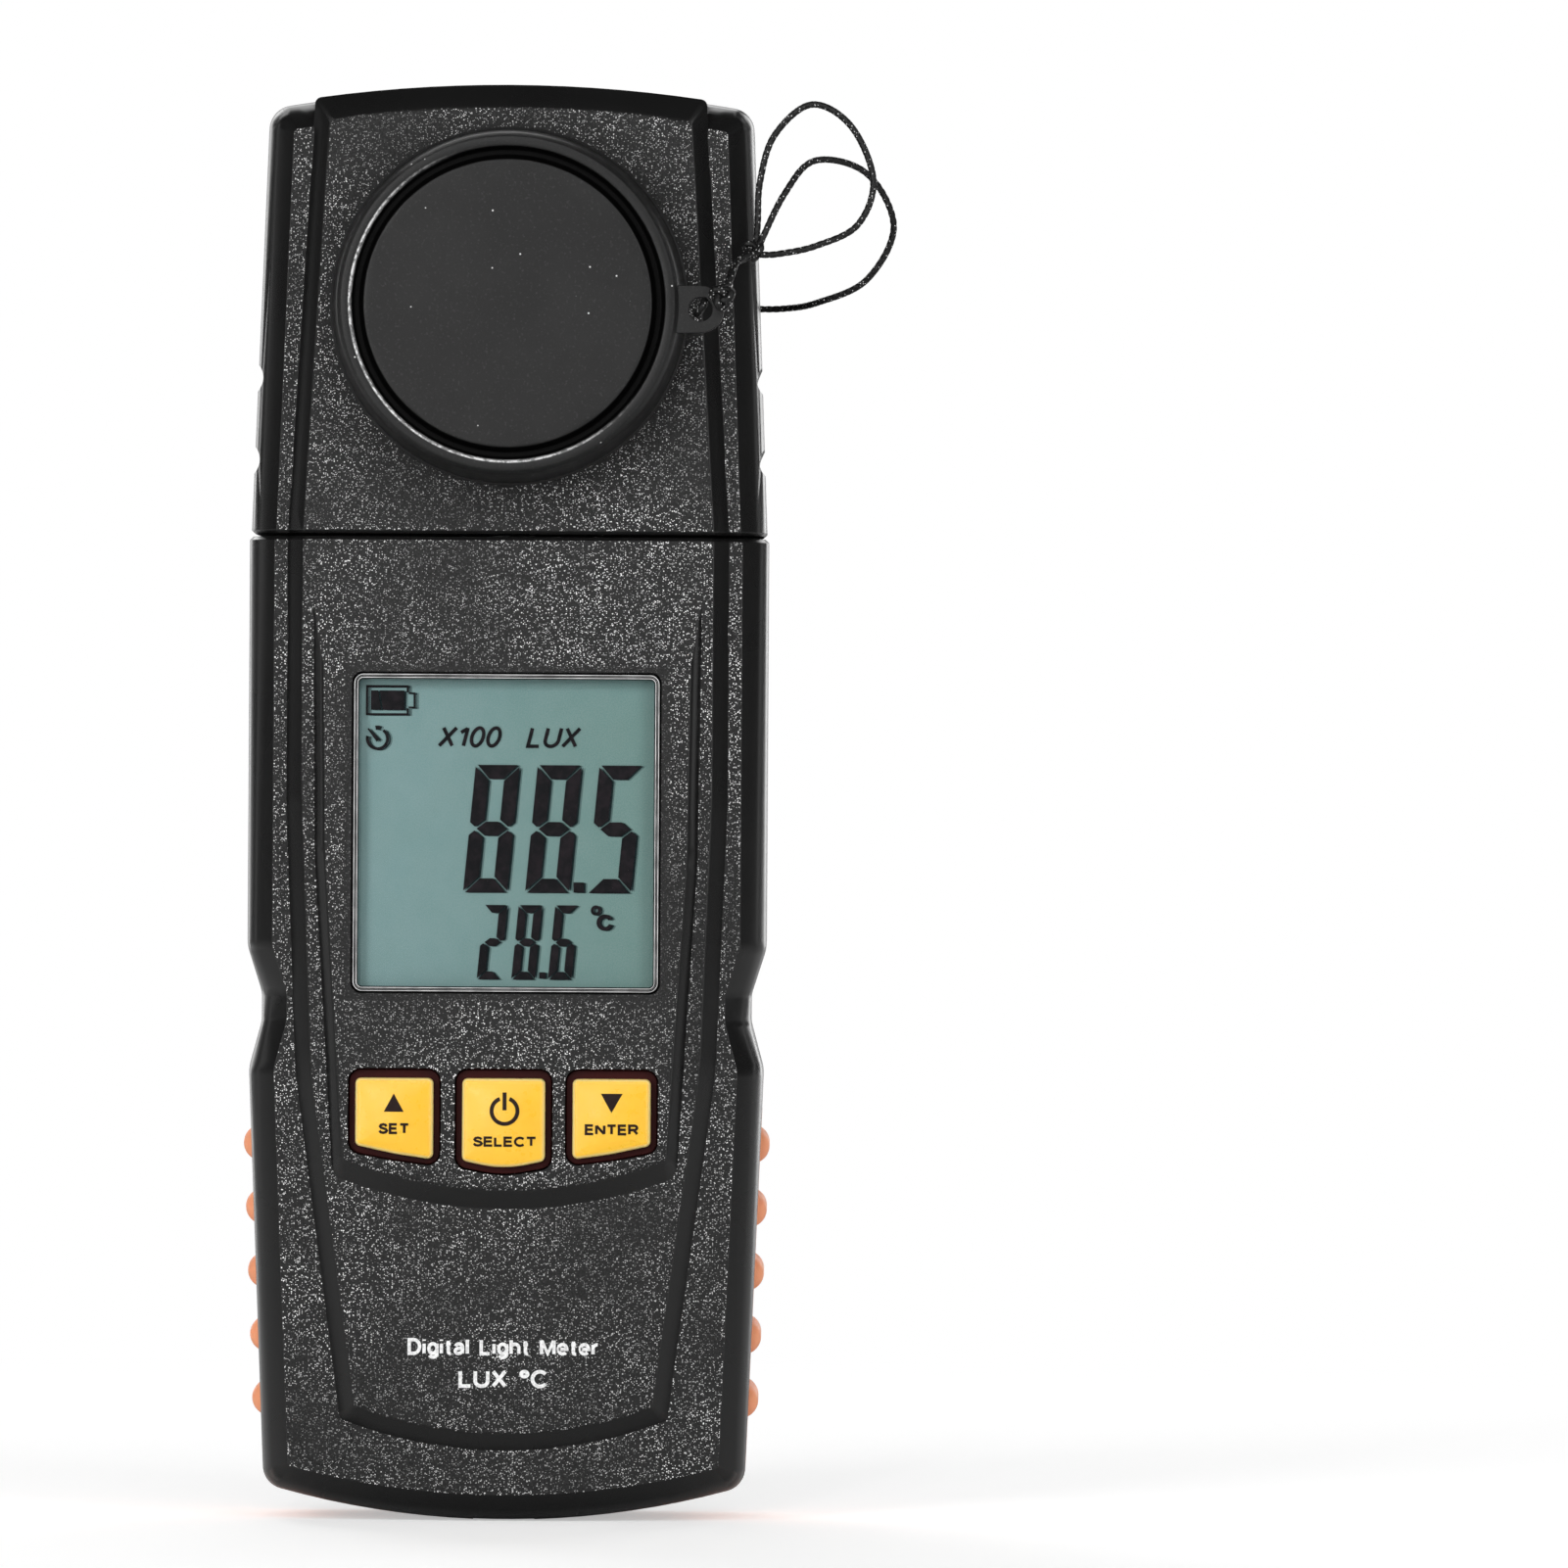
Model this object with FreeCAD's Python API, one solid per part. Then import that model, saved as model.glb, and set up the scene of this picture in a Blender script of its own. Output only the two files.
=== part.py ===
"""Hand-held light meter: a case with display and keys, and a swivelling sensor head with a push-on cap.

Frame, in millimetres: X to the right of the display, Y towards the back, Z up towards the sensor head.
The back faces of case and head lie on y = 0, the display looks along -Y, and z = 0 is mid height.
"""

import FreeCAD, Part
import math
import os

from FreeCAD import Vector

# ---- overall form -------------------------------------------------------------------------------
LENGTH = 203.0
TOP_Z = LENGTH / 2
BOTTOM_Z = -LENGTH / 2
SEAM_Z = 37.8
SEAM_GAP = 0.4
HEAD_Z = SEAM_Z + SEAM_GAP / 2
CASE_Z = SEAM_Z - SEAM_GAP / 2

# ---- depth levels, back to front ----------------------------------------------------------------
BACK_Y = 0.0
PARTING_Y = -18.0
BEVEL_Y = -29.5
RAIL_Y = -35.5
PLATEAU_Y = -38.0
POD_Y = -40.2
CAP_Y = -50.0

# ---- shells -------------------------------------------------------------------------------------
WALL = 2.6
BEVEL = 3.8
CASE_ROOF = 3.2
HEAD_FLOOR = 2.4
ROOM_Y = -33.1
PLATEAU_ROOM_Y = -35.6
POD_ROOM_Y = -38.0
REAR_ROOM_Y = -2.6
SEAM_BEVEL = 0.5
SNUG = 0.05
CLEAR = 0.1

# ---- swivel -------------------------------------------------------------------------------------
SPINDLE_R = 7.0
SPINDLE_BORE_R = 3.5
BUSH_R = 9.0
RUNNING = 0.06
STOP_R = 12.5
STOP_PIN_R = 1.5
SWIVEL_MIN = -90.0
SWIVEL_MAX = 180.0
SPINDLE_LOW_Z = 29.2
CLIP_LOW_Z = 30.3
CLIP_THICK = 1.0
CLIP_R = 9.4
CLIP_GROOVE = 0.85
WASHER_LOW_Z = 31.45
BUSH_LOW_Z = 32.3
CABLE_R = 1.6

# ---- display ------------------------------------------------------------------------------------
WINDOW_X = 0.0
WINDOW_Z = -4.15
WINDOW_HALF_X = 21.8
WINDOW_HALF_Z = 22.65
WINDOW_R = 1.5
WINDOW_LEDGE = 0.75
WINDOW_BACK_Y = -38.6
GLASS_FRONT_Y = -37.9
GLASS_BACK_Y = -35.7
POD_TOP = 28.5
BOARD_Y = -31.0
BOARD_THICK = 1.6
BOARD_BACK_Y = BOARD_Y + BOARD_THICK
USB_HALF = 3.85
WAIST_X = 31.7
WAIST_CUT = 3.0

# ---- keys: left, right, top, bottom at left, bottom in the middle, bottom at right ---------------
KEYS = {
    "set": (-21.0, -10.0, -38.7, -48.2, -49.4, -50.2),
    "select": (-5.95, 5.75, -38.7, -50.3, -51.6, -50.3),
    "enter": (9.6, 20.6, -38.7, -50.1, -49.3, -48.1),
}
KEY_CORNER = 0.8
KEY_GAP = 1.05
KEY_TOP_SHARE = 1.3
KEY_FRONT_Y = -41.0
KEY_BASE_Y = -39.0
KEY_TRAVEL = 1.0
KEY_POST_R = 2.4
KEY_FACE_R = 70.0
KEY_SKIRT = 0.85
KEY_FLANGE = 1.9
KEY_FLANGE_Y = -37.9
MAT_Y = BOARD_Y - 1.2

# ---- sensor and cap -----------------------------------------------------------------------------
SENSOR_Z = 70.1
COLLAR_R = 22.5
RIM_R = 17.9
DOME_R = 16.0
DOME_RISE = 4.4
DOME_WALL = 1.6
FILTER_R = 8.05
SENSOR_BOARD_R = 25.5
SENSOR_BOARD_Y = -32.6
SENSOR_SCREW_CIRCLE = 22.0
CAP_R = 25.3
LUG_X = 27.0
LUG_Z = 69.4
LUG_R = 3.3
LUG_HOLE_R = 1.7
CORD_R = 0.48
CORD_HOLE_Y = -12.0
CORD_HOLE_Z = 71.0

# ---- batteries and door -------------------------------------------------------------------------
CELL_R = 5.25
CELL_LENGTH = 43.7
CELL_NUB = 0.8
CELL_PITCH = 11.8
BAY_BOTTOM = -83.4
BAY_TOP = -31.1
BAY_HALF = 17.9
BAY_FLOOR_Y = -14.0
DOOR_HALF = 20.5
DOOR_TOP = -27.5
DOOR_THICK = 2.0
DOOR_Y = -0.3
HINGE_Y = DOOR_Y - DOOR_THICK / 2
HINGE_Z = -85.0
PEG_R = 0.8

# ---- fasteners ----------------------------------------------------------------------------------
CASE_SCREWS = [(-28.0, 24.0), (28.0, 24.0), (-25.0, -90.0), (25.0, -90.0)]
HEAD_SCREWS = [(-28.0, 46.5), (28.0, 46.5), (-26.0, 92.0), (26.0, 92.0)]
BOARD_SCREWS = [(-19.0, 27.0), (19.0, 27.0), (-8.5, -89.0), (8.5, -89.0)]
SCREW_R = 1.45
SCREW_HEAD_R = 2.7
BOSS_R = 3.6
SMALL_SCREW_R = 0.8
SMALL_HEAD_R = 1.8
SMALL_BOSS_R = 2.4

# ---- side grips ---------------------------------------------------------------------------------
GRIP_TOP = -43.5
GRIP_DEPTH = 1.3
GRIP_FRONT_Y = -27.0
GRIP_BACK_Y = -7.0
RIDGES = 5
RIDGE_FIRST_Z = -48.4
RIDGE_PITCH = 9.05
RIDGE_R = 2.6
RIDGE_HEIGHT = 1.3


# ---- small tools --------------------------------------------------------------------------------
def block(x0, x1, y0, y1, z0, z1):
    return Part.makeBox(x1 - x0, y1 - y0, z1 - z0, Vector(x0, y0, z0))


def rod_x(y, z, radius, x0, x1):
    return Part.makeCylinder(radius, x1 - x0, Vector(x0, y, z), Vector(1, 0, 0))


def rod_y(x, z, radius, y0, y1):
    return Part.makeCylinder(radius, y1 - y0, Vector(x, y0, z), Vector(0, 1, 0))


def rod_z(x, y, radius, z0, z1):
    return Part.makeCylinder(radius, z1 - z0, Vector(x, y, z0), Vector(0, 0, 1))


def ring_z(y, outer, inner, z0, z1):
    return rod_z(0, y, outer, z0, z1).cut(rod_z(0, y, inner, z0 - 1, z1 + 1))


def ring_y(z, outer, inner, y0, y1):
    return rod_y(0, z, outer, y0, y1).cut(rod_y(0, z, inner, y0 - 1, y1 + 1))


def joined(shapes):
    return shapes[0].multiFuse(shapes[1:]).removeSplitter()


def turned(profile, z):
    """A solid of revolution about the line along Y through (0, z), from (radius, y) corners."""
    points = [Vector(radius, y, z) for radius, y in profile]
    face = Part.Face(Part.makePolygon(points + points[:1]))
    return face.revolve(Vector(0, 0, z), Vector(0, 1, 0), 360)


def save(name, shape):
    """Writes one sub-part, as a single solid where it is one piece."""
    solids = shape.Solids
    piece = solids[0] if len(solids) == 1 else Part.makeCompound(solids)
    piece.exportStep(os.path.join("parts", name + ".step"))


# ---- outlines in planes of constant y -----------------------------------------------------------
def corner_arc(before, corner, after, y):
    """The two ends and the middle of the arc that rounds a corner given as (x, z, radius)."""
    x, z, radius = corner
    tip = Vector(x, y, z)
    back = (Vector(before[0], y, before[1]) - tip).normalize()
    ahead = (Vector(after[0], y, after[1]) - tip).normalize()
    half = back.getAngle(ahead) / 2
    reach = radius / math.tan(half)
    middle = tip + (back + ahead).normalize() * (radius / math.sin(half) - radius)
    return tip + back * reach, middle, tip + ahead * reach


def loop(corners, y):
    """A closed wire through (x, z, radius) corners, each rounded to its radius."""
    arcs = []
    for i, corner in enumerate(corners):
        arcs.append(corner_arc(corners[i - 1], corner, corners[(i + 1) % len(corners)], y))
    edges = []
    for i, (start, middle, end) in enumerate(arcs):
        edges.append(Part.Arc(start, middle, end).toShape())
        edges.append(Part.makeLine(end, arcs[(i + 1) % len(arcs)][0]))
    return Part.Wire(edges)


def rectangle(x, z, half_x, half_z, radius, y):
    left, right, low, high = x - half_x, x + half_x, z - half_z, z + half_z
    corners = [(left, high, radius), (right, high, radius), (right, low, radius), (left, low, radius)]
    return loop(corners, y)


def loft(wires):
    return Part.makeLoft(wires, True, True)


def key_outline(name, margin, y):
    """Outline of a key grown by margin: square at the top, gently bowed along the bottom."""
    left, right, top, low_left, low_middle, low_right = KEYS[name]
    radius = max(KEY_CORNER + margin, 0.3)
    high = top + margin * KEY_TOP_SHARE
    corners = [
        (left - margin, high, radius),
        (right + margin, high, radius),
        (right + margin, low_right - margin, radius),
        ((left + right) / 2, low_middle - margin, 16.0),
        (left - margin, low_left - margin, radius),
    ]
    return loop(corners, y)


class Form:
    """A shape symmetric about x = 0 with straight shoulders at one end and a crowned, rounded other end.

    side holds (half width, z, radius) corners from the straight end to the crowned one; the last is the
    half width at the crown. direction is +1 where the crown is at the top and -1 where it is at the bottom.
    """

    def __init__(self, side, direction, apex, crown_radius, corner_radius):
        self.side = side
        self.direction = direction
        self.apex = apex
        self.crown_radius = crown_radius
        self.corner_radius = corner_radius

    def right_half(self, y, inset, end_inset, start_z):
        """Lines and arcs, as point lists, from the straight end to the crown's right-hand tangent point."""
        centre = Vector(0, y, self.apex - self.direction * self.crown_radius)
        radius = self.crown_radius - end_inset
        corner = max(self.corner_radius - inset, 0.6)
        hub_x = self.side[-1][0] - inset - corner
        hub_z = centre.z + self.direction * math.sqrt((radius - corner) ** 2 - hub_x**2)
        hub = Vector(hub_x, y, hub_z)
        outward = (hub - centre).normalize()
        knee = hub + (outward + Vector(1, 0, 0)).normalize() * corner
        crown_point = hub + outward * corner
        side_end = Vector(hub_x + corner, y, hub_z)
        chain = [(x - inset, z, r) for x, z, r in self.side[:-1]]
        chain[0] = (chain[0][0], start_z, 0)
        chain.append((side_end.x, side_end.z, 0))
        pieces = []
        start = Vector(chain[0][0], y, chain[0][1])
        for before, tip, after in zip(chain, chain[1:], chain[2:]):
            first, middle, last = corner_arc(before, tip, after, y)
            pieces += [(start, first), (first, middle, last)]
            start = last
        pieces += [(start, side_end), (side_end, knee, crown_point)]
        return pieces, Vector(0, y, centre.z + self.direction * radius)

    def wire(self, y, inset=0.0, end_inset=None, start_z=None):
        """The outline at depth y, drawn in by inset, by end_inset at the crown and starting at start_z."""
        end_inset = inset if end_inset is None else end_inset
        start_z = self.side[0][1] if start_z is None else start_z
        right, apex = self.right_half(y, inset, end_inset, start_z)
        left = [tuple(Vector(-p.x, p.y, p.z) for p in reversed(piece)) for piece in reversed(right)]
        crown = (right[-1][-1], apex, left[0][0])
        shoulder = (left[-1][-1], right[0][0])
        edges = []
        for piece in right + [crown] + left + [shoulder]:
            if len(piece) == 2:
                edges.append(Part.makeLine(*piece))
            else:
                edges.append(Part.Arc(*piece).toShape())
        return Part.Wire(edges)

    def half_width(self, z):
        """Half width of the plain side at height z, ignoring the rounding of its corners."""
        for (x0, z0, _), (x1, z1, _) in zip(self.side, self.side[1:]):
            if min(z0, z1) <= z <= max(z0, z1):
                return x0 + (x1 - x0) * (z - z0) / (z1 - z0)
        return self.side[-1][0]


CASE = Form(
    [
        (36.8, CASE_Z, 0),
        (36.8, -20.3, 6),
        (34.7, -26.9, 4),
        (34.7, -30.9, 4),
        (36.5, -37.6, 6),
        (34.2, -97.0, 0),
    ],
    -1,
    BOTTOM_Z,
    120.0,
    3.4,
)
CASE_PLATEAU = Form(
    [(31.2, CASE_Z, 0), (31.2, 0.0, 60), (29.7, -38.0, 60), (23.3, -89.0, 0)],
    -1,
    -91.4,
    63.0,
    1.6,
)
POD = Form(
    [(27.4, POD_TOP, 0), (27.0, -8.0, 60), (24.4, -54.0, 0)],
    -1,
    -57.2,
    66.0,
    2.4,
)
HEAD = Form(
    [(36.55, HEAD_Z, 0), (34.4, 96.0, 0)],
    1,
    101.3,
    192.0,
    3.5,
)
HEAD_PLATEAU = Form(
    [(31.2, HEAD_Z, 0), (27.7, 97.0, 0)],
    1,
    TOP_Z,
    192.0,
    1.0,
)

FRONT_ROUNDING = [(0.0, PARTING_Y), (0.0, BEVEL_Y), (0.45, -31.6), (1.6, -33.7), (BEVEL, RAIL_Y)]
REAR_ROUNDING = [(0.0, PARTING_Y), (0.4, -8.0), (1.2, -4.2), (2.6, -1.7), (4.4, -0.4), (6.0, BACK_Y)]
PLATEAU_ROUNDING = [(0.0, RAIL_Y), (2.0, -37.7), (2.6, PLATEAU_Y)]


def front_body(form):
    """Outer solid of a front shell: plain sides that roll over into the rail level."""
    return loft([form.wire(y, inset) for inset, y in FRONT_ROUNDING])


def rear_body(form):
    """Outer solid of a rear shell: plain sides that roll over into the flat back."""
    return loft([form.wire(y, inset) for inset, y in REAR_ROUNDING])


def front_room(form, plateau, start_z):
    """Hollow of a front shell."""
    wide = loft([
        form.wire(PARTING_Y, WALL, start_z=start_z),
        form.wire(BEVEL_Y, WALL, start_z=start_z),
        form.wire(ROOM_Y, BEVEL + 2.0, start_z=start_z),
    ])
    deep = loft([
        plateau.wire(BEVEL_Y, WALL, start_z=start_z),
        plateau.wire(PLATEAU_ROOM_Y, WALL + 1.8, start_z=start_z),
    ])
    return wide.fuse(deep)


def rear_room(form, start_z):
    """Hollow of a rear shell."""
    return loft([
        form.wire(PARTING_Y, WALL, start_z=start_z),
        form.wire(-7.0, WALL + 0.6, start_z=start_z),
        form.wire(REAR_ROOM_Y, BEVEL + 3.2, start_z=start_z),
    ])


def seam_bevel(form, plateau, direction):
    """Ring that takes the sharp outer edge off both shells at the seam; direction is +1 for the case."""
    seam_z = form.side[0][1]
    half, centre_half = form.side[0][0], plateau.side[0][0]
    profile = [(half - inset, y) for inset, y in reversed(REAR_ROUNDING)]
    profile += [(half - inset, y) for inset, y in FRONT_ROUNDING[1:]]
    profile += [(centre_half - inset, y) for inset, y in PLATEAU_ROUNDING]
    points = [Vector(x, y, seam_z) for x, y in profile]
    points += [Vector(-x, y, seam_z) for x, y in reversed(profile)]
    section = Part.makePolygon(points + points[:1])
    narrow = section.makeOffset2D(-SEAM_BEVEL, 2)
    wide = section.makeOffset2D(SNUG, 2)
    wide.translate(Vector(0, 0, -direction * (SEAM_BEVEL + SNUG)))
    low, high = sorted((seam_z, seam_z - direction * (SEAM_BEVEL + SNUG)))
    return block(-50, 50, PLATEAU_Y - 5, BACK_Y + 5, low, high).cut(loft([narrow, wide]))


def plateau_tier(form, end_inset):
    """Raised centre of a front shell, with a bevel down to the rails."""
    wires = []
    for inset, y in PLATEAU_ROUNDING:
        wires.append(form.wire(y, inset, end_inset * inset / PLATEAU_ROUNDING[-1][0]))
    return loft(wires)


def front_bosses(places):
    """Solid pillars and their pilot holes for the screws that come from the back."""
    posts = [rod_y(x, z, BOSS_R, PLATEAU_ROOM_Y, PARTING_Y) for x, z in places]
    pilots = [rod_y(x, z, SCREW_R + SNUG, -30.0, PARTING_Y + 1) for x, z in places]
    return posts, pilots


def rear_bosses(places):
    """Pillars, through holes and counterbores of the rear shell."""
    posts = [rod_y(x, z, BOSS_R, PARTING_Y, -1.0) for x, z in places]
    holes = [rod_y(x, z, SCREW_R + SNUG, PARTING_Y - 1, 1.0) for x, z in places]
    holes += [rod_y(x, z, SCREW_HEAD_R + CLEAR, -5.0, 1.0) for x, z in places]
    return posts, holes


def screws(places):
    """Pan-head case screws lying along Y, heads sunk in the back, with a cross slot."""
    group = []
    for x, z in places:
        head = rod_y(x, z, SCREW_HEAD_R, -5.0, -3.4)
        screw = head.fuse(rod_y(x, z, SCREW_R, -28.0, -4.9))
        slots = [block(x - 1.6, x + 1.6, -4.2, -3.0, z - 0.3, z + 0.3)]
        slots.append(block(x - 0.3, x + 0.3, -4.2, -3.0, z - 1.6, z + 1.6))
        group.append(screw.cut(slots))
    return Part.makeCompound(group)


def small_screws(places, seat_y, tip_y):
    """Board screws whose heads sit on the board's back face."""
    group = []
    for x, z in places:
        head = rod_y(x, z, SMALL_HEAD_R, seat_y, seat_y + 1.3)
        screw = head.fuse(rod_y(x, z, SMALL_SCREW_R, tip_y, seat_y))
        group.append(screw.cut(block(x - 1.2, x + 1.2, seat_y + 0.7, seat_y + 2, z - 0.25, z + 0.25)))
    return Part.makeCompound(group)


# ---- side grips ---------------------------------------------------------------------------------
def grip_region(outset, inset, clearance):
    """U-shaped strip round the lower sides and the bottom, between two offsets of the outline."""
    front, back = GRIP_FRONT_Y - clearance, GRIP_BACK_Y + clearance
    outer = loft([CASE.wire(front, -outset), CASE.wire(back, -outset)])
    inner = loft([CASE.wire(front - 1, inset), CASE.wire(back + 1, inset)])
    below = block(-60, 60, front - 1, back + 1, BOTTOM_Z - 5, GRIP_TOP + clearance)
    return outer.common(below), inner


def ridge(side, z):
    """One rounded finger ridge across the side of the grip."""
    x = side * (CASE.half_width(z) + RIDGE_HEIGHT - RIDGE_R)
    front, back = GRIP_FRONT_Y + RIDGE_R, GRIP_BACK_Y - RIDGE_R
    bar = rod_y(x, z, RIDGE_R, front, back)
    ends = [Part.makeSphere(RIDGE_R, Vector(x, y, z)) for y in (front, back)]
    return bar.multiFuse(ends)


def grip_band():
    outer, inner = grip_region(0.02, GRIP_DEPTH, 0.0)
    ridges = []
    for side in (-1, 1):
        for i in range(RIDGES):
            ridges.append(ridge(side, RIDGE_FIRST_Z - i * RIDGE_PITCH))
    return outer.multiFuse(ridges).cut([inner, usb_opening()]).removeSplitter()


def grip_groove():
    outer, inner = grip_region(3.0, GRIP_DEPTH + SNUG, SNUG)
    return outer.cut(inner)


# ---- case ---------------------------------------------------------------------------------------
def swivel_seat():
    """Bush hole and blind stop track in the case roof, cut through both case shells."""
    hole = rod_z(0, PARTING_Y, BUSH_R + SNUG, CASE_Z - 8, CASE_Z + 1)
    floor_z = CASE_Z - 1.8
    outer, inner = STOP_R + STOP_PIN_R + 0.3, STOP_R - STOP_PIN_R - 0.3
    track = ring_z(PARTING_Y, outer, inner, floor_z, CASE_Z + 1)
    margin = math.degrees(math.asin((STOP_PIN_R + 0.25) / STOP_R))
    first, last = SWIVEL_MAX + margin, SWIVEL_MIN + 360 - margin
    wedge = Part.makeCylinder(20, 4, Vector(0, PARTING_Y, floor_z - 1), Vector(0, 0, 1), last - first)
    wedge.rotate(Vector(0, PARTING_Y, 0), Vector(0, 0, 1), first)
    return [hole, track.cut(wedge)]


def body_front_shell():
    shell = joined([front_body(CASE), plateau_tier(CASE_PLATEAU, 2.9), pod_tier()])
    room = front_room(CASE, CASE_PLATEAU, CASE_Z - CASE_ROOF)
    display_room = block(-22.4, 22.4, POD_ROOM_Y, PARTING_Y, -29.8, 21.5)
    key_room = block(-23.6, 23.6, POD_ROOM_Y, PARTING_Y, -51.4, -35.2)
    shell = shell.cut([room, display_room, key_room])
    posts, pilots = front_bosses(CASE_SCREWS)
    for x, z in BOARD_SCREWS:
        posts.append(rod_y(x, z, SMALL_BOSS_R, PLATEAU_ROOM_Y, BOARD_Y))
        pilots.append(rod_y(x, z, SMALL_SCREW_R + SNUG, -34.5, BOARD_Y + 1))
    shell = joined([shell] + posts)
    cuts = pilots + swivel_seat() + [grip_groove()] + window_cuts()
    cuts += [loft([key_outline(n, KEY_GAP, POD_Y - 1), key_outline(n, KEY_GAP, -36)]) for n in KEYS]
    cuts.append(usb_opening())
    cuts.append(seam_bevel(CASE, CASE_PLATEAU, 1))
    return shell.cut(cuts)


def usb_opening():
    half = USB_HALF + 0.5
    return block(-half, half, BOARD_BACK_Y - 0.6, BOARD_BACK_Y + 4.6, BOTTOM_Z - 1, -96.0)


def pod_tier():
    """The raised display and key deck, ramping up from the plateau above the window."""
    return loft([
        POD.wire(PLATEAU_Y, 0.0, 0.0, POD_TOP),
        POD.wire(-39.9, 1.3, 2.4, 20.8),
        POD.wire(POD_Y, 1.8, 3.2, 19.4),
    ])


def window_outline(inset, y):
    half_x, half_z = WINDOW_HALF_X - inset, WINDOW_HALF_Z - inset
    return rectangle(WINDOW_X, WINDOW_Z, half_x, half_z, max(WINDOW_R - inset, 0.4), y)


def window_cuts():
    recess = loft([window_outline(0, POD_Y - 1), window_outline(0, WINDOW_BACK_Y)])
    outlines = [window_outline(WINDOW_LEDGE, y) for y in (POD_Y - 1, POD_ROOM_Y + 1)]
    opening = loft(outlines)
    return [recess, opening]


def body_rear_shell():
    shell = rear_body(CASE).cut(rear_room(CASE, CASE_Z - CASE_ROOF))
    posts, holes = rear_bosses(CASE_SCREWS)
    bay = block(-22.6, 22.6, -15.5, BACK_Y, -88.0, -25.5)
    shell = joined([shell, bay] + posts)
    cuts = holes + swivel_seat() + [grip_groove(), seam_bevel(CASE, CASE_PLATEAU, 1)]
    cuts.append(block(-BAY_HALF, BAY_HALF, BAY_FLOOR_Y, 1, BAY_BOTTOM, BAY_TOP))
    cuts.append(block(-DOOR_HALF - 0.2, DOOR_HALF + 0.2, -2.4, 1, HINGE_Z, DOOR_TOP + 0.2))
    cuts.append(block(-DOOR_HALF - 0.2, DOOR_HALF + 0.2, HINGE_Y, 1, HINGE_Z - 1.2, HINGE_Z))
    cuts.append(rod_x(HINGE_Y, HINGE_Z, 1.2, -DOOR_HALF - 0.2, DOOR_HALF + 0.2))
    cuts.append(rod_x(HINGE_Y, HINGE_Z, PEG_R + SNUG, -DOOR_HALF - 1.6, DOOR_HALF + 1.6))
    cuts.append(rod_y(0, DOOR_TOP + 6.5, 8.5, -1.4, 1))
    return shell.cut(cuts)


def battery_door():
    """Flat cover with a rounded lower edge on two pegs and a ribbed thumb pad at the top."""
    plate = block(-DOOR_HALF, DOOR_HALF, DOOR_Y - DOOR_THICK, DOOR_Y, HINGE_Z, DOOR_TOP)
    barrel = rod_x(HINGE_Y, HINGE_Z, DOOR_THICK / 2, -DOOR_HALF, DOOR_HALF)
    pegs = rod_x(HINGE_Y, HINGE_Z, PEG_R, -DOOR_HALF - 1.4, DOOR_HALF + 1.4)
    ribs = []
    for i in range(4):
        z = DOOR_TOP - 4 - i * 2.2
        ribs.append(rod_x(DOOR_Y - 0.3, z, 0.55, -8 + i, 8 - i))
    return joined([plate, barrel, pegs] + ribs)


def battery_cells():
    """Three cells side by side, the middle one the other way up."""
    group = []
    y = BAY_FLOOR_Y + 0.2 + CELL_R
    for i, up in ((-1, True), (0, False), (1, True)):
        x = i * CELL_PITCH
        low = BAY_TOP - 0.4 - CELL_NUB - CELL_LENGTH if up else BAY_BOTTOM + 0.4 + CELL_NUB
        nub_z = low + CELL_LENGTH if up else low - CELL_NUB
        cell = rod_z(x, y, CELL_R, low, low + CELL_LENGTH)
        group.append(cell.fuse(rod_z(x, y, 1.9, nub_z, nub_z + CELL_NUB)))
    return Part.makeCompound(group)


def battery_plates():
    low = block(-17.5, 17.5, -13.6, -3.4, BAY_BOTTOM, BAY_BOTTOM + 0.4)
    high = block(-17.5, 17.5, -13.6, -3.4, BAY_TOP - 0.4, BAY_TOP)
    return Part.makeCompound([low, high])


def battery_springs():
    """Three coil springs between the plates and the flat ends of the cells."""
    wire_r, coil_r = 0.35, 3.0
    room = BAY_TOP - BAY_BOTTOM - 0.8 - CELL_LENGTH - CELL_NUB
    y = BAY_FLOOR_Y + 0.2 + CELL_R
    group = []
    for i, low in ((-1, BAY_BOTTOM + 0.4), (0, BAY_TOP - 0.4 - room), (1, BAY_BOTTOM + 0.4)):
        height = room - 2 * wire_r - 0.1
        helix = Part.makeHelix(height / 4, height, coil_r)
        helix.translate(Vector(i * CELL_PITCH, y, low + wire_r + 0.05))
        start = Vector(i * CELL_PITCH + coil_r, y, low + wire_r + 0.05)
        section = Part.Wire(Part.makeCircle(wire_r, start, Vector(0, 1, 0)))
        group.append(Part.Wire(helix).makePipeShell([section], True, True))
    return Part.makeCompound([Part.Solid(s) if s.ShapeType == "Shell" else s for s in group])


# ---- display stack ------------------------------------------------------------------------------
def lcd_window():
    """Clear window with a bevelled rim, set just below the deck."""
    levels = [(0.12, WINDOW_BACK_Y), (0.12, -39.5), (0.75, -40.1)]
    return loft([window_outline(inset, y) for inset, y in levels])


def lcd_glass():
    """Liquid crystal cell, taller than the window so that its contact edges are hidden."""
    return block(-21.4, 21.2, GLASS_FRONT_Y, GLASS_BACK_Y, -28.3, 20.0)


def lcd_frame():
    """Tray that holds the glass, the backlight and the rubber strips on the board."""
    outer = block(-22.3, 22.3, GLASS_FRONT_Y, BOARD_Y - CLEAR, -29.6, 21.3)
    return outer.cut(block(-21.5, 21.3, -38.5, BOARD_Y + 1, -28.4, 20.1))


def lcd_backlight():
    """Light guide behind the glass, hollowed at the back."""
    plate = block(-20.8, 20.6, GLASS_BACK_Y + CLEAR, -32.6, -25.4, 17.2)
    return plate.cut(block(-19.0, 18.8, -33.0, -32.0, -23.6, 15.4))


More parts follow.
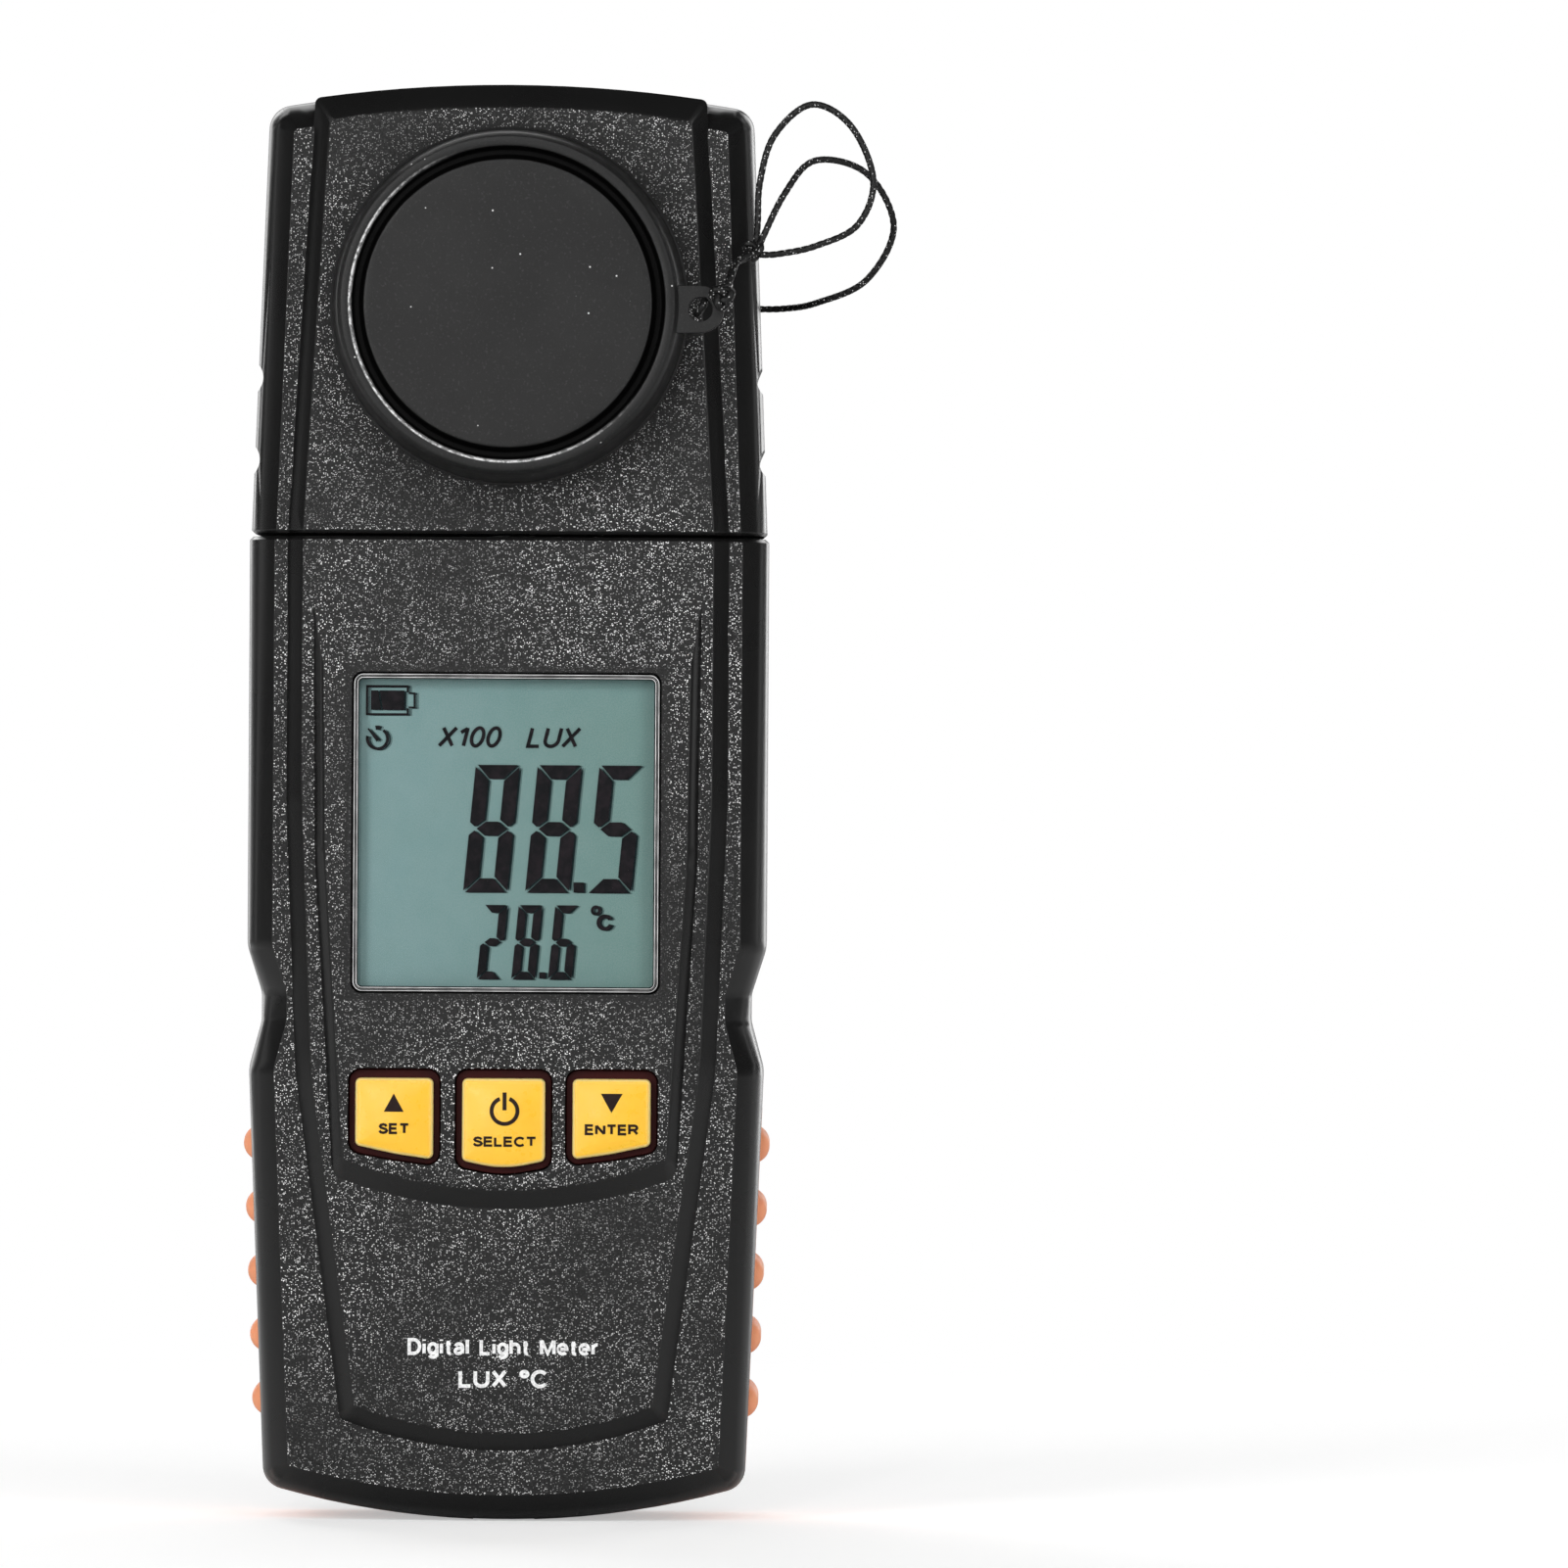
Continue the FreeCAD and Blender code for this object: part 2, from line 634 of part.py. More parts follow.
def lcd_connectors():
    """Two conductive rubber strips that join the glass to the board."""
    strips = [block(-19.0, 18.8, GLASS_BACK_Y, BOARD_Y, z, z + 2.0) for z in (-28.2, 17.8)]
    return Part.makeCompound(strips)


# ---- board --------------------------------------------------------------------------------------
def main_board():
    upper = block(-31.0, 31.0, BOARD_Y, BOARD_BACK_Y, -58.0, 31.0)
    lower = block(-13.0, 13.0, BOARD_Y, BOARD_BACK_Y, -95.6, -57.9)
    holes = [rod_y(x, z, SMALL_SCREW_R + CLEAR, -32, -29) for x, z in BOARD_SCREWS]
    holes += [rod_y(x, z, BOSS_R + 0.4, -32, -29) for x, z in CASE_SCREWS]
    waist = [block(x - WAIST_CUT, x + WAIST_CUT, -32, -29, -34, -22) for x in (-WAIST_X, WAIST_X)]
    return upper.fuse(lower).removeSplitter().cut(holes + waist)


def board_chips():
    """Controller, amplifier, memory and supply parts on the back of the board."""
    chips = [(0, -2, 10, 10, 1.5), (-15, 6, 5, 4, 1.3), (14, 4, 5, 4, 1.3), (-12, -18, 4, 6, 1.6)]
    chips += [(13, -20, 6, 6, 3.0), (0, -78, 6, 4, 1.2)]
    group = []
    for x, z, w, h, t in chips:
        group.append(block(x - w / 2, x + w / 2, BOARD_BACK_Y, BOARD_BACK_Y + t, z - h / 2, z + h / 2))
    return Part.makeCompound(group)


def usb_socket():
    """Mini USB socket on the board's lower edge, its mouth in the bottom wall."""
    y0, y1, low, high = BOARD_BACK_Y, BOARD_BACK_Y + 4.0, BOTTOM_Z + 0.7, -91.5
    body = block(-USB_HALF, USB_HALF, y0, y1, low, high)
    body = body.cut(block(-USB_HALF + 0.4, USB_HALF - 0.4, y0 + 0.4, y1 - 0.4, low - 1, high - 2))
    return body.fuse(block(-2.2, 2.2, y0 + 1.6, y1 - 1.6, low + 1, high - 1.9))


def cable_plug():
    """Plug and header that take the sensor cable on the swivel axis."""
    header = block(-4.0, 4.0, BOARD_BACK_Y, PARTING_Y + 3.5, 18.0, 24.0)
    return header.cut(block(-4.5, 4.5, BOARD_BACK_Y + 3, PARTING_Y + 4, 17.0, 20.0))


def thermistor():
    """Temperature bead on two legs at the top of the board."""
    bead = Part.makeSphere(1.3, Vector(24.0, -26.6, 14.0))
    legs = [rod_y(24.0 + s, 14.0, 0.25, BOARD_BACK_Y, -26.6) for s in (-0.7, 0.7)]
    return bead.multiFuse(legs)


# ---- keys ---------------------------------------------------------------------------------------
def key_cap(name):
    """Hard yellow cap: chamfered edge and a gently domed face."""
    x, z = key_centre(name)
    body = loft([
        key_outline(name, 0.0, KEY_BASE_Y),
        key_outline(name, 0.0, KEY_FRONT_Y + 0.75),
        key_outline(name, -0.22, KEY_FRONT_Y + 0.3),
        key_outline(name, -0.6, KEY_FRONT_Y),
    ])
    return body.common(Part.makeSphere(KEY_FACE_R, Vector(x, KEY_FRONT_Y + KEY_FACE_R, z)))


def key_centre(name):
    left, right, top, _, low_middle, _ = KEYS[name]
    return (left + right) / 2, (top + low_middle) / 2


def key_base(name):
    """Silicone skirt, flange and post under one cap."""
    x, z = key_centre(name)
    skirt = loft([key_outline(name, KEY_SKIRT, y) for y in (KEY_FLANGE_Y, KEY_BASE_Y)])
    flange = loft([key_outline(name, KEY_FLANGE, y) for y in (KEY_FLANGE_Y, -36.3)])
    flange = flange.common(block(-23.4, 23.4, -40, -30, -51.2, -35.5))
    post = rod_y(x, z, KEY_POST_R, -36.4, BOARD_Y - KEY_TRAVEL - 0.7)
    stub = rod_y(x, z, 4.2, -36.4, -34.7)
    return joined([skirt, flange, post, stub])


def key_contact(name):
    """Carbon pill on the end of a key's post."""
    x, z = key_centre(name)
    tip = BOARD_Y - KEY_TRAVEL - 0.1
    return rod_y(x, z, KEY_POST_R, tip - 0.6, tip)


def keypad_mat():
    """Silicone sheet on the board with a hollow dome around each key's post."""
    sheet = block(-23.0, 23.0, MAT_Y, BOARD_Y, -53.0, -36.0)
    domes = []
    wells = []
    for name in KEYS:
        x, z = key_centre(name)
        base = Vector(x, MAT_Y, z)
        domes.append(Part.makeCone(5.4, 4.0, 2.5, base, Vector(0, -1, 0)))
        wells.append(Part.makeCone(4.6, 3.2, 3.0, base + Vector(0, 0.2, 0), Vector(0, -1, 0)))
        wells.append(rod_y(x, z, 4.6, BOARD_Y - 1.3, BOARD_Y + 1))
    return joined([sheet] + domes).cut(wells)


# ---- swivel -------------------------------------------------------------------------------------
def swivel_spindle():
    """Hollow spindle with a plate that is held between the two head shells."""
    floor_z = HEAD_Z + HEAD_FLOOR
    tube = rod_z(0, PARTING_Y, SPINDLE_R, SPINDLE_LOW_Z, floor_z + 1)
    plate = block(-11, 11, -34.9, -3.4, floor_z + SNUG, floor_z + 2.4)
    groove_low, groove_high = CLIP_LOW_Z - SNUG, CLIP_LOW_Z + CLIP_THICK + SNUG
    groove = ring_z(PARTING_Y, SPINDLE_R + 1, SPINDLE_R - CLIP_GROOVE, groove_low, groove_high)
    bore = rod_z(0, PARTING_Y, SPINDLE_BORE_R, 20, 60)
    return tube.fuse(plate).cut([bore, groove])


def swivel_bush():
    sleeve = rod_z(0, PARTING_Y, BUSH_R, BUSH_LOW_Z, CASE_Z - CLEAR)
    flange = rod_z(0, PARTING_Y, BUSH_R + 1.6, BUSH_LOW_Z, CASE_Z - CASE_ROOF - CLEAR)
    bore = rod_z(0, PARTING_Y, SPINDLE_R + RUNNING, BUSH_LOW_Z - 1, CASE_Z + 1)
    return sleeve.fuse(flange).cut(bore)


def wave_washer():
    """Friction spring washer, three shallow waves around its face."""
    low, outer, inner, thick = WASHER_LOW_Z, 10.0, 7.4, 0.8
    wave_r, wave_depth = 9.0, 0.35
    ring = ring_z(PARTING_Y, outer, inner, low, low + thick)
    dips = []
    for i in range(3):
        foot = Vector(0, PARTING_Y, low + wave_depth - wave_r)
        dip = Part.makeCylinder(wave_r, 14, foot, Vector(1, 0, 0))
        dip.rotate(Vector(0, PARTING_Y, 0), Vector(0, 0, 1), 120 * i + 30)
        dips.append(dip)
    return ring.cut(dips)


def spindle_clip():
    """Open retaining ring in the spindle's groove."""
    high, mouth = CLIP_LOW_Z + CLIP_THICK, 3.5
    ring = ring_z(PARTING_Y, CLIP_R, SPINDLE_R - CLIP_GROOVE + SNUG, CLIP_LOW_Z, high)
    return ring.cut(block(-mouth, mouth, PARTING_Y, PARTING_Y + 12, CLIP_LOW_Z - 0.3, high + 0.7))


def stop_pin():
    return rod_z(STOP_R, PARTING_Y, STOP_PIN_R, CASE_Z - 1.5, HEAD_Z + HEAD_FLOOR)


def sensor_cable():
    """Cable from the case plug up the hollow spindle to the sensor board."""
    path = Part.BSplineCurve()
    path.interpolate([
        Vector(0, PARTING_Y, 24.2),
        Vector(0, PARTING_Y, 34.0),
        Vector(0, PARTING_Y, 45.0),
        Vector(0, -20.5, 54.0),
        Vector(0, -26.0, 58.8),
    ])
    section = Part.Wire(Part.makeCircle(CABLE_R, Vector(0, PARTING_Y, 24.2), Vector(0, 0, 1)))
    return Part.Wire(path.toShape()).makePipeShell([section], True, False)


# ---- head ---------------------------------------------------------------------------------------
def scallops():
    """Two finger notches down each side of the head."""
    radius, depth = 2.6, 0.8
    cuts = []
    for z in (60.1, 48.5):
        for side in (-1, 1):
            x = side * (HEAD.half_width(z) + radius - depth)
            cuts.append(rod_y(x, z, radius, RAIL_Y - 2, -4.0))
    return cuts


def head_floor_cuts():
    spindle = rod_z(0, PARTING_Y, SPINDLE_R + CLEAR, HEAD_Z - 1, HEAD_Z + HEAD_FLOOR + 1)
    pin = rod_z(STOP_R, PARTING_Y, STOP_PIN_R + SNUG, HEAD_Z - 1, HEAD_Z + HEAD_FLOOR + 1)
    return [spindle, pin]


def sensor_boss_places():
    places = []
    for degrees in (30, 150, 270):
        angle = math.radians(degrees)
        x, rise = SENSOR_SCREW_CIRCLE * math.cos(angle), SENSOR_SCREW_CIRCLE * math.sin(angle)
        places.append((x, SENSOR_Z + rise))
    return places


def head_centre(y_edge, depth_edge):
    """The raised middle of the head, carried over the top edge so that it stands above the rails."""
    return loft([HEAD_PLATEAU.wire(PARTING_Y), HEAD_PLATEAU.wire(y_edge, depth_edge)])


def head_front_shell():
    tier = plateau_tier(HEAD_PLATEAU, 4.0)
    shell = joined([front_body(HEAD), head_centre(RAIL_Y, 0.0), tier])
    shell = shell.cut(front_room(HEAD, HEAD_PLATEAU, HEAD_Z + HEAD_FLOOR))
    posts, cuts = front_bosses(HEAD_SCREWS)
    for x, z in sensor_boss_places():
        posts.append(rod_y(x, z, SMALL_BOSS_R, PLATEAU_ROOM_Y, SENSOR_BOARD_Y))
        cuts.append(rod_y(x, z, SMALL_SCREW_R + SNUG, -34.5, -32))
    shell = joined([shell] + posts)
    cuts.append(rod_y(0, SENSOR_Z, 19.0, PLATEAU_Y - 1, -34))
    cuts.append(seam_bevel(HEAD, HEAD_PLATEAU, -1))
    return shell.cut(cuts + scallops() + head_floor_cuts())


def head_rear_shell():
    shell = joined([rear_body(HEAD), head_centre(-3.5, 1.6)])
    shell = shell.cut(rear_room(HEAD, HEAD_Z + HEAD_FLOOR))
    posts, cuts = rear_bosses(HEAD_SCREWS)
    shell = joined([shell] + posts)
    cuts.append(rod_x(CORD_HOLE_Y, CORD_HOLE_Z, CORD_R + 0.45, 30, 40))
    cuts.append(seam_bevel(HEAD, HEAD_PLATEAU, -1))
    return shell.cut(cuts + scallops() + head_floor_cuts())


def sensor_collar():
    """Collar that carries the diffuser and that the cap pushes onto."""
    profile = [(18.0, -33.0), (18.95, -33.0), (18.95, PLATEAU_Y), (COLLAR_R, PLATEAU_Y)]
    profile += [(COLLAR_R, -43.0), (COLLAR_R - 0.4, -43.4), (18.1, -43.4), (18.1, -41.2)]
    profile += [(16.4, -41.2), (16.4, -39.6), (18.0, -39.6)]
    return turned(profile, SENSOR_Z)


def diffuser_dome():
    """Opal dome with a flat rim, turned from two arcs."""
    radius = (DOME_R**2 + DOME_RISE**2) / (2 * DOME_RISE)
    front = -42.2 - DOME_RISE
    outer = Part.makeSphere(radius, Vector(0, front + radius, SENSOR_Z))
    inner = Part.makeSphere(radius - DOME_WALL, Vector(0, front + radius, SENSOR_Z))
    cap = outer.cut(inner).common(rod_y(0, SENSOR_Z, DOME_R, front - 1, -42.0))
    rim = ring_y(SENSOR_Z, RIM_R, 14.6, -42.6, -41.2)
    return joined([cap, rim])


def filter_holder():
    """Cup on the sensor board with a seat for the colour filter."""
    body = rod_y(0, SENSOR_Z, 10.0, -40.0, SENSOR_BOARD_Y)
    seat = rod_y(0, SENSOR_Z, FILTER_R + SNUG, -41, -38.6)
    return body.cut([seat, rod_y(0, SENSOR_Z, 6.4, -39, -32)])


def colour_filter():
    return rod_y(0, SENSOR_Z, FILTER_R, -39.9, -38.6)


def photodiode():
    """Square package with a shallow well for the chip."""
    half, well = 4.0, 2.8
    package = block(-half, half, -34.8, SENSOR_BOARD_Y, SENSOR_Z - half, SENSOR_Z + half)
    return package.cut(block(-well, well, -35, -34.5, SENSOR_Z - well, SENSOR_Z + well))


def sensor_board():
    disc = rod_y(0, SENSOR_Z, SENSOR_BOARD_R, SENSOR_BOARD_Y, SENSOR_BOARD_Y + BOARD_THICK)
    holes = [rod_y(x, z, SMALL_SCREW_R + CLEAR, -33, -30) for x, z in sensor_boss_places()]
    holes += [rod_y(x, z, BOSS_R + 0.4, -33, -30) for x, z in HEAD_SCREWS]
    return disc.cut(holes)


def sensor_plug():
    """Small socket on the sensor board where the cable ends."""
    return block(-3.5, 3.5, -31.0, -26.0, 57.0, 62.0).cut(rod_x(-26.6, 58.8, 1.9, -1.9, 1.9))


# ---- cap and cord -------------------------------------------------------------------------------
def sensor_cap():
    """Push-on cap with a moat around its centre disc and a lug for the cord."""
    profile = [(COLLAR_R + RUNNING, -38.2), (CAP_R, -38.2), (CAP_R, -38.9), (24.95, -39.1), (24.1, -48.4)]
    profile += [(23.9, -49.3), (23.4, -49.9), (23.0, CAP_Y), (22.35, CAP_Y), (22.1, -49.85), (21.9, -48.9)]
    profile += [(21.5, -48.5), (20.9, -48.5), (20.5, -48.9), (20.25, -49.75), (20.0, -49.9), (0, -49.9)]
    profile += [(0, -47.4), (19.4, -47.4), (19.4, -46.6), (COLLAR_R + RUNNING, -46.6)]
    dish = turned(profile, SENSOR_Z)
    y0, y1 = -49.2, -47.0
    tab = block(23.0, LUG_X, y0, y1, LUG_Z - LUG_R, LUG_Z + LUG_R)
    tab = tab.fuse(rod_y(LUG_X, LUG_Z, LUG_R, y0, y1))
    inside_the_cap = rod_y(0, SENSOR_Z, 23.5, y0 - 1, y1 + 1)
    cord_hole = rod_y(LUG_X, LUG_Z, LUG_HOLE_R, y0 - 1, y1 + 1)
    tab = tab.cut([inside_the_cap, cord_hole])
    return joined([dish, tab])


def cord_strand(points):
    path = Part.BSplineCurve()
    path.interpolate([Vector(*p) for p in points])
    start = path.value(path.FirstParameter)
    direction = path.tangent(path.FirstParameter)[0]
    section = Part.Wire(Part.makeCircle(CORD_R, start, direction))
    return Part.Wire(path.toShape()).makePipeShell([section], True, False)


def cap_cord():
    """Thin cord: one strand from the lug's front to the anchored loop, one to the free loop."""
    anchored = [(27.4, -50.2, 69.9), (29.8, -50.0, 72.4), (32.6, -45.8, 75.6), (37.4, -37.5, 83.0)]
    anchored += [(42.0, -33.0, 90.6), (50.2, -29.0, 89.6), (54.3, -26.0, 82.2), (50.4, -23.0, 74.8)]
    anchored += [(43.5, -19.0, 71.7), (38.6, -13.8, 71.0), (33.4, CORD_HOLE_Y, CORD_HOLE_Z)]
    free = [(27.4, -46.2, 70.0), (30.2, -44.6, 73.2), (33.2, -38.6, 79.6), (34.8, -35.5, 84.5)]
    free += [(36.6, -34.5, 94.2), (42.4, -34.0, 99.2), (48.6, -34.0, 95.0), (51.3, -34.5, 87.6)]
    free += [(48.0, -35.0, 81.0), (41.5, -35.8, 78.3), (36.2, -36.2, 77.4)]
    return Part.makeCompound([cord_strand(anchored), cord_strand(free)])


def main():
    os.makedirs("parts", exist_ok=True)
    save("body_front_shell", body_front_shell())
    save("body_rear_shell", body_rear_shell())
    save("grip_band", grip_band())
    save("body_screws", screws(CASE_SCREWS))
    save("battery_door", battery_door())
    save("battery_cells", battery_cells())
    save("battery_plates", battery_plates())
    save("battery_springs", battery_springs())
    save("lcd_window", lcd_window())
    save("lcd_glass", lcd_glass())
    save("lcd_frame", lcd_frame())
    save("lcd_backlight", lcd_backlight())
    save("lcd_connectors", lcd_connectors())
    save("main_board", main_board())
    save("board_chips", board_chips())
    save("board_screws", small_screws(BOARD_SCREWS, BOARD_BACK_Y, -34.0))
    save("usb_socket", usb_socket())
    save("cable_plug", cable_plug())
    save("thermistor", thermistor())
    save("keypad_mat", keypad_mat())
    for name in KEYS:
        save(name + "_button", key_cap(name))
        save(name + "_key_base", key_base(name))
        save(name + "_contact", key_contact(name))
    save("swivel_spindle", swivel_spindle())
    save("swivel_bush", swivel_bush())
    save("wave_washer", wave_washer())
    save("spindle_clip", spindle_clip())
    save("stop_pin", stop_pin())
    save("sensor_cable", sensor_cable())
    save("head_front_shell", head_front_shell())
    save("head_rear_shell", head_rear_shell())
    save("head_screws", screws(HEAD_SCREWS))
    save("sensor_collar", sensor_collar())
    save("diffuser_dome", diffuser_dome())
    save("filter_holder", filter_holder())
    save("colour_filter", colour_filter())
    save("photodiode", photodiode())
    save("sensor_board", sensor_board())
    save("sensor_board_screws", small_screws(sensor_boss_places(), -31.0, -34.2))
    save("sensor_plug", sensor_plug())
    save("sensor_cap", sensor_cap())
    save("cap_cord", cap_cord())


main()
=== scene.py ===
"""Looks of the hand-held light meter: materials, keys, display artwork, print, cord and studio."""

import math

import bmesh
import bpy
import numpy as np
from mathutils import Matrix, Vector
from mathutils.geometry import convex_hull_2d


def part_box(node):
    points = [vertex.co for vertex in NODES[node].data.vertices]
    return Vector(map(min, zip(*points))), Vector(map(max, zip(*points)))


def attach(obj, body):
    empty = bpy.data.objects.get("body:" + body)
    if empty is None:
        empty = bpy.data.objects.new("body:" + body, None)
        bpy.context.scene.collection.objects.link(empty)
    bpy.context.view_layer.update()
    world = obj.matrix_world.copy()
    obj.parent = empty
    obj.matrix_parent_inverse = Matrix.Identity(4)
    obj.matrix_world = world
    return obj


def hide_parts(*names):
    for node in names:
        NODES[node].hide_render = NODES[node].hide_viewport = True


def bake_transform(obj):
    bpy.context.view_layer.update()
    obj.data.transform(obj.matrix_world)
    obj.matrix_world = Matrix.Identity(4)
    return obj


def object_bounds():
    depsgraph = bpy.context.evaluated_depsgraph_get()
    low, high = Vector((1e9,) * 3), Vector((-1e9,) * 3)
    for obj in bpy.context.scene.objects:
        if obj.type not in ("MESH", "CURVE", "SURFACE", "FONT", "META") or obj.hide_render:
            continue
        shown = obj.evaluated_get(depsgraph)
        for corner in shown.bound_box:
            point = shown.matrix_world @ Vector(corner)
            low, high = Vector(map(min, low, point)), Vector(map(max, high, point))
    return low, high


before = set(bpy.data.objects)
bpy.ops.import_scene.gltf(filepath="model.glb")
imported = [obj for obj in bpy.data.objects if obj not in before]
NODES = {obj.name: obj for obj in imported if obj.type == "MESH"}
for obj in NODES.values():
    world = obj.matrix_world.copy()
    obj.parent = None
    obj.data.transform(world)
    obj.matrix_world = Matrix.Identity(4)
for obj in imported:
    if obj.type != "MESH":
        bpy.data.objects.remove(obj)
cad_low, cad_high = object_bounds()

MM = 0.001


# ---- node materials -----------------------------------------------------------------------------
class Material:
    """A node material under construction, in object space, so that its detail has its size in metres."""

    def __init__(self, name):
        self.data = bpy.data.materials.new(name)
        self.data.use_nodes = True
        self.tree = self.data.node_tree
        self.tree.nodes.clear()
        self.output = self.add("ShaderNodeOutputMaterial")
        coordinates = self.add("ShaderNodeTexCoord")
        self.place = coordinates.outputs["Object"]
        self.facing = coordinates.outputs["Normal"]

    def add(self, kind, inputs=None, **settings):
        node = self.tree.nodes.new(kind)
        for key, value in settings.items():
            setattr(node, key, value)
        for key, value in (inputs or {}).items():
            self.feed(node.inputs[key], value)
        return node

    def feed(self, socket, value):
        if isinstance(value, bpy.types.NodeSocket):
            self.tree.links.new(value, socket)
        else:
            socket.default_value = value

    def stretched(self, scale):
        """The place, scaled by a factor for each axis."""
        return self.add("ShaderNodeMapping", {"Vector": self.place, "Scale": scale}).outputs[0]

    def noise(self, scale, detail=3.0, roughness=0.55, place=None):
        inputs = {"Vector": place or self.place, "Scale": scale, "Detail": detail, "Roughness": roughness}
        return self.add("ShaderNodeTexNoise", inputs).outputs["Fac"]

    def cells(self, scale, place=None):
        return self.add("ShaderNodeTexVoronoi", {"Vector": place or self.place, "Scale": scale})

    def math(self, operation, a, b=0.0, clamp=False):
        node = self.add("ShaderNodeMath", operation=operation, use_clamp=clamp)
        self.feed(node.inputs[0], a)
        self.feed(node.inputs[1], b)
        return node.outputs[0]

    def times(self, a, b, clamp=False):
        return self.math("MULTIPLY", a, b, clamp)

    def plus(self, a, b):
        return self.math("ADD", a, b)

    def minus(self, a, b):
        return self.math("SUBTRACT", a, b)

    def varied(self, middle, pattern, spread):
        """A value that wanders about its middle with a pattern of 0 to 1."""
        return self.plus(middle, self.times(self.minus(pattern, 0.5), spread))

    def stretch(self, value, low, high, to_low=0.0, to_high=1.0):
        """value carried from low..high to to_low..to_high with soft ends."""
        inputs = {"Value": value, "From Min": low, "From Max": high, "To Min": to_low, "To Max": to_high}
        return self.add("ShaderNodeMapRange", inputs, interpolation_type="SMOOTHSTEP").outputs["Result"]

    def part(self, vector, axis):
        return self.add("ShaderNodeSeparateXYZ", {"Vector": vector}).outputs[axis]

    def blend(self, share, a, b):
        node = self.add("ShaderNodeMix", data_type="RGBA")
        self.feed(node.inputs[0], share)
        self.feed(node.inputs[6], a)
        self.feed(node.inputs[7], b)
        return node.outputs[2]

    def rounded(self, radius):
        """The surface normal with creases rounded to a radius."""
        return self.add("ShaderNodeBevel", {"Radius": radius}, samples=4).outputs[0]

    def crease(self, radius):
        """0 on plain surfaces and up to 1 along the edges, within a radius of them."""
        normal = self.add("ShaderNodeNewGeometry").outputs["Normal"]
        node = self.add("ShaderNodeVectorMath", operation="DOT_PRODUCT")
        self.feed(node.inputs[0], self.rounded(radius))
        self.feed(node.inputs[1], normal)
        return self.stretch(node.outputs["Value"], 0.995, 0.86)

    def patches(self, scale, detail, low, high, to_low=0.0, to_high=1.0):
        """Noise carried from low..high to to_low..to_high with soft ends."""
        return self.stretch(self.noise(scale, detail), low, high, to_low, to_high)

    def bump(self, height, distance, normal=None):
        inputs = {"Height": height, "Distance": distance, "Strength": 1.0}
        if normal is not None:
            inputs["Normal"] = normal
        return self.add("ShaderNodeBump", inputs).outputs[0]

    def level(self):
        """1 where the surface faces straight to the front or the back, 0 on bevels and sides."""
        return self.stretch(self.math("ABSOLUTE", self.part(self.facing, "Y")), 0.895, 0.955)

    def mixed(self, share, first, second):
        """One shader turning into another; sends the result to the surface and returns the material."""
        mix = self.add("ShaderNodeMixShader", {"Fac": share})
        self.tree.links.new(first, mix.inputs[1])
        self.tree.links.new(second, mix.inputs[2])
        self.tree.links.new(mix.outputs[0], self.output.inputs["Surface"])
        return self.data

    def finish(self, colour, roughness, normal, **extra):
        inputs = {"Base Color": colour, "Roughness": roughness, "Normal": normal}
        inputs.update({key.replace("_", " "): value for key, value in extra.items()})
        shader = self.add("ShaderNodeBsdfPrincipled", inputs)
        self.tree.links.new(shader.outputs[0], self.output.inputs["Surface"])
        return self.data


def rgb(red, green, blue):
    return (red, green, blue, 1.0)


def grey(value, warmth=0.0):
    return rgb(value * (1 + warmth), value, value * (1 - warmth))


def scaled(colour, factor):
    """A colour made darker or lighter."""
    return tuple(min(c * factor, 1.0) for c in colour[:3]) + (1.0,)


def off_rectangle(m, low, high):
    """Distance in metres outside an upright rectangle in the x-z plane; negative inside it."""
    across = m.math("ABSOLUTE", m.minus(m.part(m.place, "X"), (low.x + high.x) / 2))
    up = m.math("ABSOLUTE", m.minus(m.part(m.place, "Z"), (low.z + high.z) / 2))
    across = m.minus(across, (high.x - low.x) / 2)
    up = m.minus(up, (high.z - low.z) / 2)
    return m.math("MAXIMUM", across, up)


